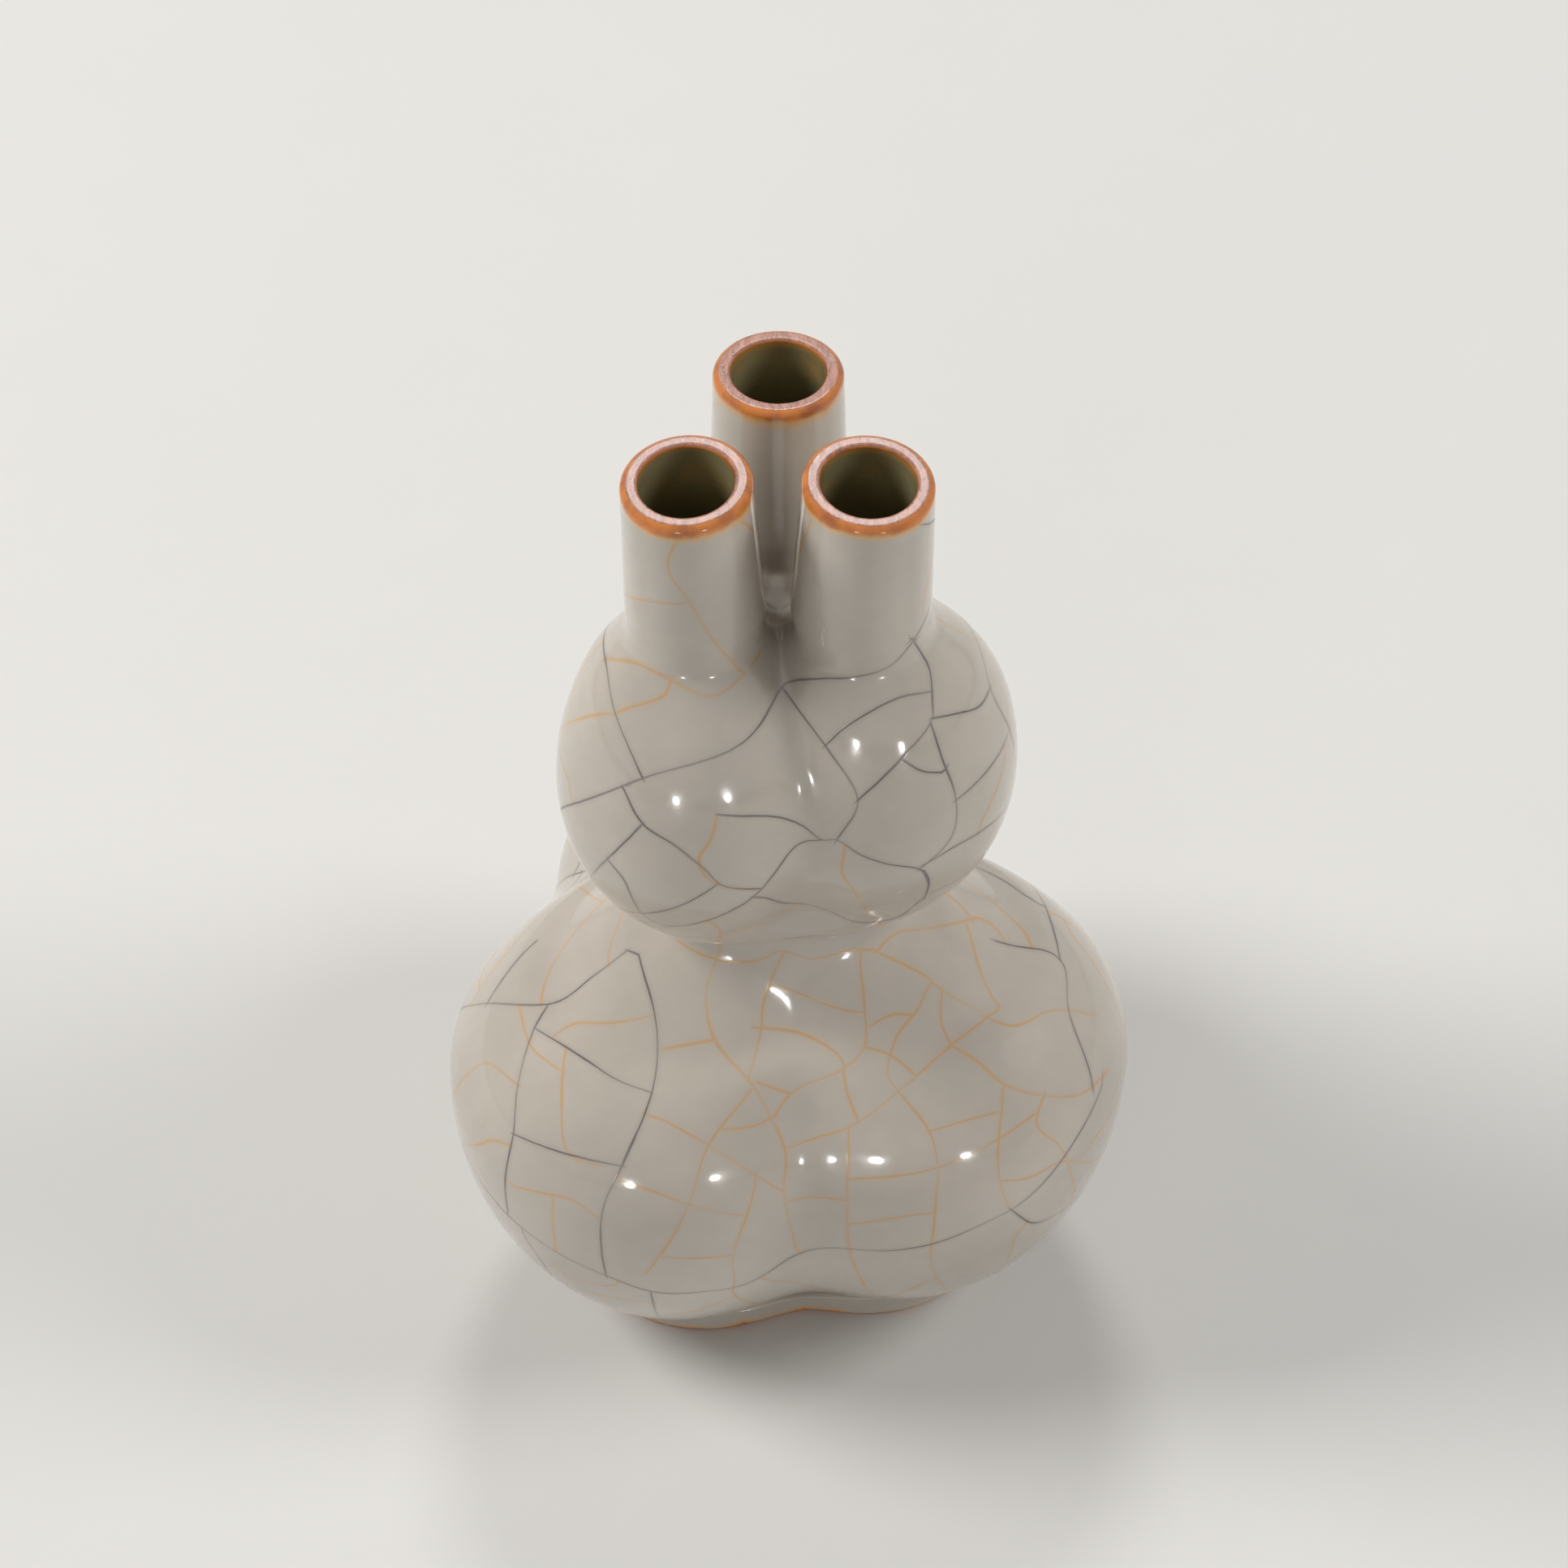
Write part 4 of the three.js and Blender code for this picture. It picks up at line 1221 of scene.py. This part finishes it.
# Where the rust and the amber start and end, as shares of the rust's reach.
STAIN_SPANS = (("Rust", 0.45, 1.1), ("Amber", 0.7, 1.75))
# Relief of the fine peel and of a pin hole, and the hole's colour and how much it covers.
PEEL_RELIEF, PIN_RELIEF = 0.03, 0.12
PIN_HOLE, PIN_COVER = (0.09, 0.08, 0.07), 0.55

MASKS = ("Dark", "Gold", "Smoke", "Glow")


@functools.cache
def crack_line_group():
    """One crack: masks of the dark line, the gold line and the stain beside it."""
    nodes, given, out = new_group(
        "Crack line",
        [
            ("Line", "Vector", None),
            ("Wander", "Float", 0.0),
            ("Dark width", "Float", 0.3),
            ("Gold width", "Float", 0.5),
        ],
        floats(*MASKS),
    )
    distance, strength, is_gold = nodes.add("SeparateXYZ", {0: given["Line"]})
    gap = nodes.maths("ABSOLUTE", nodes.plus(distance, given["Wander"]))
    stain = nodes.times(nodes.fade(gap, *STAIN_FADE), strength)
    is_dark = nodes.minus(1.0, is_gold)
    for line, beside, chosen in (("Dark", "Smoke", is_dark), ("Gold", "Glow", is_gold)):
        ink = nodes.times(nodes.fade(gap, 0.0, given[f"{line} width"], 1.0, 0.0), strength)
        nodes.put(out[line], nodes.times(ink, chosen))
        nodes.put(out[beside], nodes.times(stain, chosen))
    return nodes.tree


@functools.cache
def crackle_group():
    """All cracks that pass a place, with a little wander and change of width."""
    nodes, given, out = new_group(
        "Crackle",
        [
            ("Place", "Vector", None),
            ("Dark width", "Float", 0.3),
            ("Gold width", "Float", 0.5),
            ("Wander", "Float", 0.16),
        ],
        floats(*MASKS),
    )
    wander = nodes.ripple(given["Place"], CRACK_DRIFT, given["Wander"])
    swell = nodes.fade(nodes.noise(given["Place"], *CRACK_SWELL), *SWELL_FADE)
    widths = {key: nodes.times(given[key], swell) for key in ("Dark width", "Gold width")}
    totals = {}
    for name in LINE_SLOTS:
        line = nodes.attribute(name, "Vector")
        masks = nodes.add("Group", {"Line": line, "Wander": wander, **widths}, node_tree=crack_line_group())
        for mask in MASKS:
            totals[mask] = nodes.most(totals[mask], masks[mask]) if mask in totals else masks[mask]
    for mask, total in totals.items():
        nodes.put(out[mask], total)
    return nodes.tree


@functools.cache
def glaze_depth_group():
    """Cloudy colour, fine bubbles and soft unevenness of a thick glaze."""
    nodes, given, out = new_group(
        "Glaze depth",
        [
            ("Place", "Vector", None),
            ("Thin colour", "Color", (0.5, 0.48, 0.43, 1.0)),
            ("Thick colour", "Color", (0.4, 0.39, 0.35, 1.0)),
            ("Cloud size", "Float", CLOUDS),
        ],
        [("Colour", "Color", None), *floats("Height", "Gloss loss")],
    )
    place = given["Place"]
    cloud = nodes.fade(nodes.noise(place, given["Cloud size"], *CLOUD_DETAIL), *CLOUD_FADE)
    mottle = nodes.noise(place, *MOTTLE)
    veil = nodes.fade(mottle, *VEIL_FADE)
    veil_colour = nodes.add("CombineColor", {0: veil, 1: veil, 2: veil})[0]
    clouded = nodes.blend(cloud, given["Thin colour"], given["Thick colour"])
    tinted = nodes.blend(1.0, clouded, veil_colour, "MULTIPLY")
    bubbles = nodes.add("TexVoronoi", {"Vector": place, "Scale": BUBBLES})["Distance"]
    swarms = nodes.fade(nodes.noise(place, *BUBBLE_SWARMS), *SWARM_FADE)
    specks = nodes.times(nodes.fade(bubbles, *PIN_FADE), swarms)
    nodes.put(out["Colour"], nodes.blend(nodes.times(specks, PIN_COVER), tinted, PIN_HOLE))
    peel = nodes.times(nodes.noise(place, *PEEL), PEEL_RELIEF)
    skin = nodes.plus(nodes.noise(place, *WAVES), peel)
    nodes.put(out["Height"], nodes.minus(skin, nodes.times(specks, PIN_RELIEF)))
    nodes.put(out["Gloss loss"], nodes.fade(mottle, *GLOSS_FADE))
    return nodes.tree


@functools.cache
def iron_edge_group():
    """Where the glaze runs thin at an edge: rust, amber beyond it, and bare clay."""
    nodes, given, out = new_group(
        "Iron edge",
        [
            ("Place", "Vector", None),
            ("Depth", "Float", 10.0),
            ("Bare", "Float", 0.0),
            ("Reach", "Float", 2.6),
        ],
        floats("Rust", "Amber", "Burnt", "Bare", "Grain"),
    )
    place = given["Place"]
    ragged = nodes.ripple(place, RAGGED_EDGE, RAGGED_HEIGHT)
    depth = nodes.plus(given["Depth"], nodes.plus(ragged, nodes.ripple(place, EDGE_WAVES, WAVE_HEIGHT)))
    for stain, starts, ends in STAIN_SPANS:
        bounds = (nodes.times(given["Reach"], share) for share in (starts, ends))
        nodes.put(out[stain], nodes.fade(depth, *bounds, 1.0, 0.0))
    nodes.put(out["Burnt"], nodes.fade(nodes.noise(place, *BURNS), *BURN_FADE))
    bare = nodes.plus(given["Bare"], nodes.ripple(place, BARE_EDGE, BARE_HEIGHT))
    nodes.put(out["Bare"], nodes.fade(bare, *BARE_FADE))
    streaks = nodes.add("VectorMath", {0: place, 1: CLAY_STRETCH}, operation="MULTIPLY")[0]
    nodes.put(out["Grain"], nodes.noise(streaks, *CLAY_GRAIN))
    return nodes.tree


# ---- materials

GLAZE_IOR = 1.5
# Strength and depth of the relief, and weight and roughness of the clear coat, of each surface.
WALL_RELIEF, BORE_RELIEF, EDGE_RELIEF = (0.5, 0.9 * MM), (0.5, 0.8 * MM), (0.6, 0.7 * MM)
WALL_COAT, BORE_COAT, EDGE_COAT = 0.45, 0.3, 0.5
WALL_COAT_ROUGHNESS, EDGE_COAT_ROUGHNESS = 0.035, 0.04
# Roughness of the glaze from glossy to dull, of the edge, and what a crack and bare clay add.
WALL_ROUGHNESS, BORE_ROUGHNESS, EDGE_ROUGHNESS = (0.13, 0.2), (0.15, 0.3), 0.14
LINE_ROUGHNESS, LINE_DEPTH, CLAY_ROUGHNESS = 0.2, 0.05, (0.3, 0.7, 0.06, 0.3)
# How much amber and rust cover the glaze, and where amber runs show in a bore.
WALL_AMBER, EDGE_AMBER, EDGE_RUST = 0.75, 0.8, 0.94
RUN_FADE, RIM_FADE = (0.52, 0.7), (2.0, 16.0, 0.5, 0.0)
BORE_REACH, BORE_POOLED, BORE_AMBER = 0.6, 0.7, 0.6
# Shades of the bare clay and of the floor, and the part of the glaze's relief that an edge keeps.
CLAY_DARK, CLAY_PALE, CLAY_FADE, CLAY_RELIEF = 0.62, 1.3, (0.3, 0.75), 0.5
EDGE_KEPT, CLAY_COAT_LOSS, GOLD_GROOVE = 0.4, -0.2, 0.4
FLOOR_SHADE, FLOOR_ROUGHNESS = 0.985, 0.75
# How strongly each mark of the crackle covers the glaze, and in which of its two colours.
INKS = (("Smoke", 0.13, "dark"), ("Glow", 0.16, "gold"), ("Gold", 0.76, "gold"), ("Dark", 0.93, "dark"))


def new_material(name):
    material = bpy.data.materials.new(name)
    material.use_nodes = True
    tree = material.node_tree
    tree.nodes.clear()
    shader = tree.nodes.new("ShaderNodeBsdfPrincipled")
    output = tree.nodes.new("ShaderNodeOutputMaterial")
    tree.links.new(shader.outputs[0], output.inputs["Surface"])
    place = tree.nodes.new("ShaderNodeTexCoord").outputs["Object"]
    return material, Nodes(tree), shader.inputs, place


def scaled(tone, factor):
    return tuple(min(1, factor * channel) for channel in tone)


def cracked(nodes, place, base):
    """Base colour with the crackle drawn in, and the masks."""
    look = settings().crackle
    values = {"Place": place, "Dark width": look.dark_width, "Gold width": look.gold_width}
    masks = nodes.add("Group", values, node_tree=crackle_group())
    for mask, strength, ink in INKS:
        base = nodes.blend(nodes.times(masks[mask], strength), base, getattr(look, ink))
    return base, masks


def worn_glaze(nodes, place, thin, thick, reach=1.0, bare=0.0, clouds=CLOUDS):
    """Colour and height of a glaze, and the marks of the edge at which it runs thin."""
    colours = {"Place": place, "Thin colour": thin, "Thick colour": thick, "Cloud size": clouds}
    depth = nodes.add("Group", colours, node_tree=glaze_depth_group())
    fall = nodes.attribute("rim_drop")
    marks = {"Place": place, "Depth": fall, "Bare": bare, "Reach": reach * settings().glaze.rust_reach}
    return depth, nodes.add("Group", marks, node_tree=iron_edge_group())


def set_shader(nodes, shader, colour_of_piece, roughness, relief, coat, coat_roughness=WALL_COAT_ROUGHNESS):
    """Sets the shader of a glazed surface; relief is a height, its strength and its depth."""
    values = {"Base Color": colour_of_piece, "Roughness": roughness, "Normal": nodes.bump(*relief)}
    coating = {"IOR": GLAZE_IOR, "Coat IOR": GLAZE_IOR, "Coat Weight": coat, "Coat Roughness": coat_roughness}
    for socket, value in {**values, **coating}.items():
        nodes.put(shader[socket], value)


@functools.cache
def glaze_material():
    """Grey-white glaze with dark and gold crackle."""
    material, nodes, shader, place = new_material("crackled glaze")
    look = settings().glaze
    depth, edge = worn_glaze(nodes, place, look.body, look.pooled)
    warm = nodes.blend(nodes.times(edge["Amber"], WALL_AMBER), depth["Colour"], look.amber)
    drawn, masks = cracked(nodes, place, warm)
    line = nodes.most(masks["Dark"], nodes.times(masks["Gold"], GOLD_GROOVE))
    rough = nodes.fade(depth["Gloss loss"], 0.0, 1.0, *WALL_ROUGHNESS)
    rough = nodes.plus(rough, nodes.times(line, LINE_ROUGHNESS))
    height = nodes.minus(depth["Height"], nodes.times(line, LINE_DEPTH))
    set_shader(nodes, shader, drawn, rough, (height, *WALL_RELIEF), WALL_COAT)
    return material


@functools.cache
def bore_material():
    """Olive glaze inside, plainer than outside, with amber runs below the rim."""
    material, nodes, shader, place = new_material("bore glaze")
    look = settings().glaze
    pooled = scaled(look.bore, BORE_POOLED)
    depth, edge = worn_glaze(nodes, place, look.bore, pooled, BORE_REACH, clouds=BORE_CLOUDS)
    runs = nodes.fade(nodes.noise(place, *BORE_RUNS), *RUN_FADE)
    near_rim = nodes.fade(nodes.attribute("rim_drop"), *RIM_FADE)
    tint = nodes.most(nodes.times(edge["Amber"], EDGE_AMBER), nodes.times(runs, near_rim))
    warm = nodes.blend(tint, depth["Colour"], scaled(look.amber, BORE_AMBER))
    rough = nodes.fade(depth["Gloss loss"], 0.0, 1.0, *BORE_ROUGHNESS)
    set_shader(nodes, shader, warm, rough, (depth["Height"], *BORE_RELIEF), BORE_COAT)
    return material


@functools.cache
def edged_material(name, reach):
    """Glaze that thins to rust at an edge and leaves a bare ring."""
    material, nodes, shader, place = new_material(name)
    look = settings().glaze
    bare = nodes.attribute("bare")
    depth, edge = worn_glaze(nodes, place, look.body, look.pooled, reach, bare)
    drawn = cracked(nodes, place, depth["Colour"])[0]
    amber = nodes.blend(nodes.times(edge["Amber"], EDGE_AMBER), drawn, look.amber)
    iron = nodes.blend(edge["Burnt"], look.rust, look.iron)
    rusted = nodes.blend(nodes.times(edge["Rust"], EDGE_RUST), amber, iron)
    grain = nodes.fade(edge["Grain"], *CLAY_FADE)
    clay = nodes.blend(grain, scaled(look.clay, CLAY_DARK), scaled(look.clay, CLAY_PALE))
    body = nodes.blend(edge["Bare"], rusted, clay)
    rough = nodes.times(edge["Bare"], nodes.fade(edge["Grain"], *CLAY_ROUGHNESS))
    rough = nodes.plus(rough, EDGE_ROUGHNESS)
    rough_clay = nodes.times(nodes.times(edge["Grain"], edge["Bare"]), CLAY_RELIEF)
    height = nodes.plus(nodes.times(depth["Height"], EDGE_KEPT), rough_clay)
    coat = nodes.maths("MULTIPLY_ADD", edge["Bare"], CLAY_COAT_LOSS, EDGE_COAT)
    set_shader(nodes, shader, body, rough, (height, *EDGE_RELIEF), coat, EDGE_COAT_ROUGHNESS)
    return material


@functools.cache
def floor_material():
    material, nodes, shader, place = new_material("pale floor")
    tone = settings().stage.floor
    grain = nodes.noise(place, *FLOOR_GRAIN)
    nodes.put(shader["Base Color"], nodes.blend(grain, scaled(tone, FLOOR_SHADE), tone))
    nodes.put(shader["Roughness"], FLOOR_ROUGHNESS)
    return material


# ---- operators


class GOURD_OT_lower_bulb(bpy.types.Operator):
    """Make the lower bulb: its bowl and its dome"""

    bl_idname = "gourd.lower_bulb"
    bl_label = "Lower bulb"

    def execute(self, context):
        outer = faces_of_wall()[0]
        make_bowl("lower_bulb_bowl")
        wall_piece("lower_bulb_dome", outer.lower_middle, outer.waist_height)
        return {"FINISHED"}


class GOURD_OT_upper_bulb(bpy.types.Operator):
    """Make the upper bulb: its bowl and the shoulder that branches into the necks"""

    bl_idname = "gourd.upper_bulb"
    bl_label = "Upper bulb"

    def execute(self, context):
        outer = faces_of_wall()[0]
        wall_piece("upper_bulb_bowl", outer.waist_height, outer.upper_middle)
        make_shoulder("upper_bulb_shoulder")
        return {"FINISHED"}


class GOURD_OT_necks(bpy.types.Operator):
    """Make the three necks"""

    bl_idname = "gourd.necks"
    bl_label = "Necks"

    def execute(self, context):
        for lobe in range(len(LOBES)):
            make_neck(lobe)
        return {"FINISHED"}


class GOURD_OT_lips(bpy.types.Operator):
    """Make the dressed lips of the three mouths"""

    bl_idname = "gourd.lips"
    bl_label = "Lips"

    def execute(self, context):
        for lobe in range(len(LOBES)):
            make_lip(lobe)
        return {"FINISHED"}


class GOURD_OT_foot(bpy.types.Operator):
    """Make the three-lobed foot"""

    bl_idname = "gourd.foot"
    bl_label = "Foot"

    def execute(self, context):
        make_foot()
        return {"FINISHED"}


FLOOR_REACH = 4.0
BOTTLE_MIDDLE = (0.0, 0.0, 0.1)
LAMP_TINT = (1.0, 0.985, 0.96)
# Each large lamp: side, place, size and whether the glaze mirrors it.
LAMPS = (
    ("left", (-1.6, 0.2, 1.35), 0.9, False),
    ("right", (1.6, 0.0, 1.3), 0.9, False),
    ("front", (-0.5, -1.9, 1.3), 1.0, False),
    ("back", (0.0, 1.3, 1.55), 0.5, True),
)
# Turn to the right of the front and height, in degrees, of each spark lamp.
SPARKS = ((-15, 0.5), (23, 2))
SPARK_DISTANCE = 1.0
SPARK_SIZE = 0.09
SKY_STRENGTH = 0.18


def add_lamp(name, place, size, watts, tint=(1, 1, 1), mirrored=True):
    lamp = bpy.data.lights.new(name, "AREA")
    lamp.shape, lamp.size, lamp.energy, lamp.color = "DISK", size, watts, tint
    made = bpy.data.objects.new(name, lamp)
    made.visible_glossy = mirrored
    made.location = place
    made.rotation_euler = (Vector(BOTTLE_MIDDLE) - Vector(place)).to_track_quat("-Z", "Y").to_euler()
    bpy.context.scene.collection.objects.link(made)


class GOURD_OT_stage(bpy.types.Operator):
    """Make the floor, the lamps, the sky and the camera"""

    bl_idname = "gourd.stage"
    bl_label = "Stage"

    def execute(self, context):
        look = settings().stage
        floor = bpy.data.meshes.new("floor")
        corners = [(x * FLOOR_REACH, y * FLOOR_REACH, 0) for x, y in ((-1, -1), (1, -1), (1, 1), (-1, 1))]
        floor.from_pydata(corners, [], [(0, 1, 2, 3)])
        floor.materials.append(floor_material())
        ground = bpy.data.objects.new("floor", floor)
        context.scene.collection.objects.link(ground)
        for side, place, size, mirrored in LAMPS:
            add_lamp(f"{side} lamp", place, size, getattr(look, f"{side}_power"), LAMP_TINT, mirrored)
        for number, (turned, raised) in enumerate(SPARKS):
            a, b = math.radians(turned), math.radians(raised)
            toward = Vector((math.sin(a) * math.cos(b), -math.cos(a) * math.cos(b), math.sin(b)))
            place = Vector(BOTTLE_MIDDLE) + toward * SPARK_DISTANCE
            add_lamp(f"spark lamp {number + 1}", place, SPARK_SIZE, look.spark_power)
        self.sky(context, look)
        self.camera(context, look)
        return {"FINISHED"}

    def sky(self, context, look):
        """Soft light from the sky, and the floor's colour where the camera or the glaze sees it."""
        world = bpy.data.worlds.new("studio sky")
        world.use_nodes = True
        nodes = Nodes(world.node_tree)
        light = world.node_tree.nodes["Background"]
        nodes.put(light.inputs["Color"], look.sky)
        nodes.put(light.inputs["Strength"], SKY_STRENGTH)
        pale = nodes.add("Background", {"Color": look.floor, "Strength": 1.0})[0]
        path = nodes.add("LightPath")
        seen = nodes.most(path["Is Camera Ray"], path["Is Transmission Ray"])
        seen = nodes.most(seen, path["Is Glossy Ray"])
        mixed = nodes.add("MixShader", {0: seen, 1: light.outputs[0], 2: pale})[0]
        nodes.put(world.node_tree.nodes["World Output"].inputs["Surface"], mixed)
        context.scene.world = world

    def camera(self, context, look):
        view = bpy.data.cameras.new("camera")
        view.lens = look.lens / MM
        view.clip_start, view.clip_end = 0.01, 50
        view.sensor_width = SENSOR_WIDTH / MM
        camera = bpy.data.objects.new("camera", view)
        camera.matrix_world = camera_matrix()
        context.scene.collection.objects.link(camera)
        context.scene.camera = camera


class GOURD_PT_panel(bpy.types.Panel):
    """Lists the bottle's pieces"""

    bl_idname = "GOURD_PT_panel"
    bl_label = "Gourd bottle"
    bl_space_type = "VIEW_3D"
    bl_region_type = "UI"
    bl_category = "Gourd bottle"

    def draw(self, context):
        for operator in OPERATORS:
            self.layout.operator(operator.bl_idname)
        for group in ("lower", "upper", "waist", "neck", "foot", "glaze", "crackle", "stage"):
            box = self.layout.box()
            box.label(text=group.capitalize())
            values = getattr(context.scene.gourd_bottle, group)
            for key in values.bl_rna.properties.keys():
                if key not in ("rna_type", "name"):
                    box.prop(values, key)


OPERATORS = (
    GOURD_OT_lower_bulb,
    GOURD_OT_upper_bulb,
    GOURD_OT_necks,
    GOURD_OT_lips,
    GOURD_OT_foot,
    GOURD_OT_stage,
)
CLASSES = (
    LowerBulbSizes,
    UpperBulbSizes,
    WaistSizes,
    NeckSizes,
    FootSizes,
    GlazeLook,
    CrackleLook,
    StageLook,
    BottleSettings,
    *OPERATORS,
    GOURD_PT_panel,
)


def register():
    for kind in CLASSES:
        bpy.utils.register_class(kind)
    bpy.types.Scene.gourd_bottle = PointerProperty(type=BottleSettings)


def unregister():
    del bpy.types.Scene.gourd_bottle
    for kind in reversed(CLASSES):
        bpy.utils.unregister_class(kind)


def main():
    register()
    bpy.context.scene.view_settings.view_transform = "Standard"
    bpy.ops.gourd.lower_bulb()
    bpy.ops.gourd.upper_bulb()
    bpy.ops.gourd.necks()
    bpy.ops.gourd.lips()
    bpy.ops.gourd.foot()
    bpy.ops.gourd.stage()


if __name__ == "__main__":
    main()
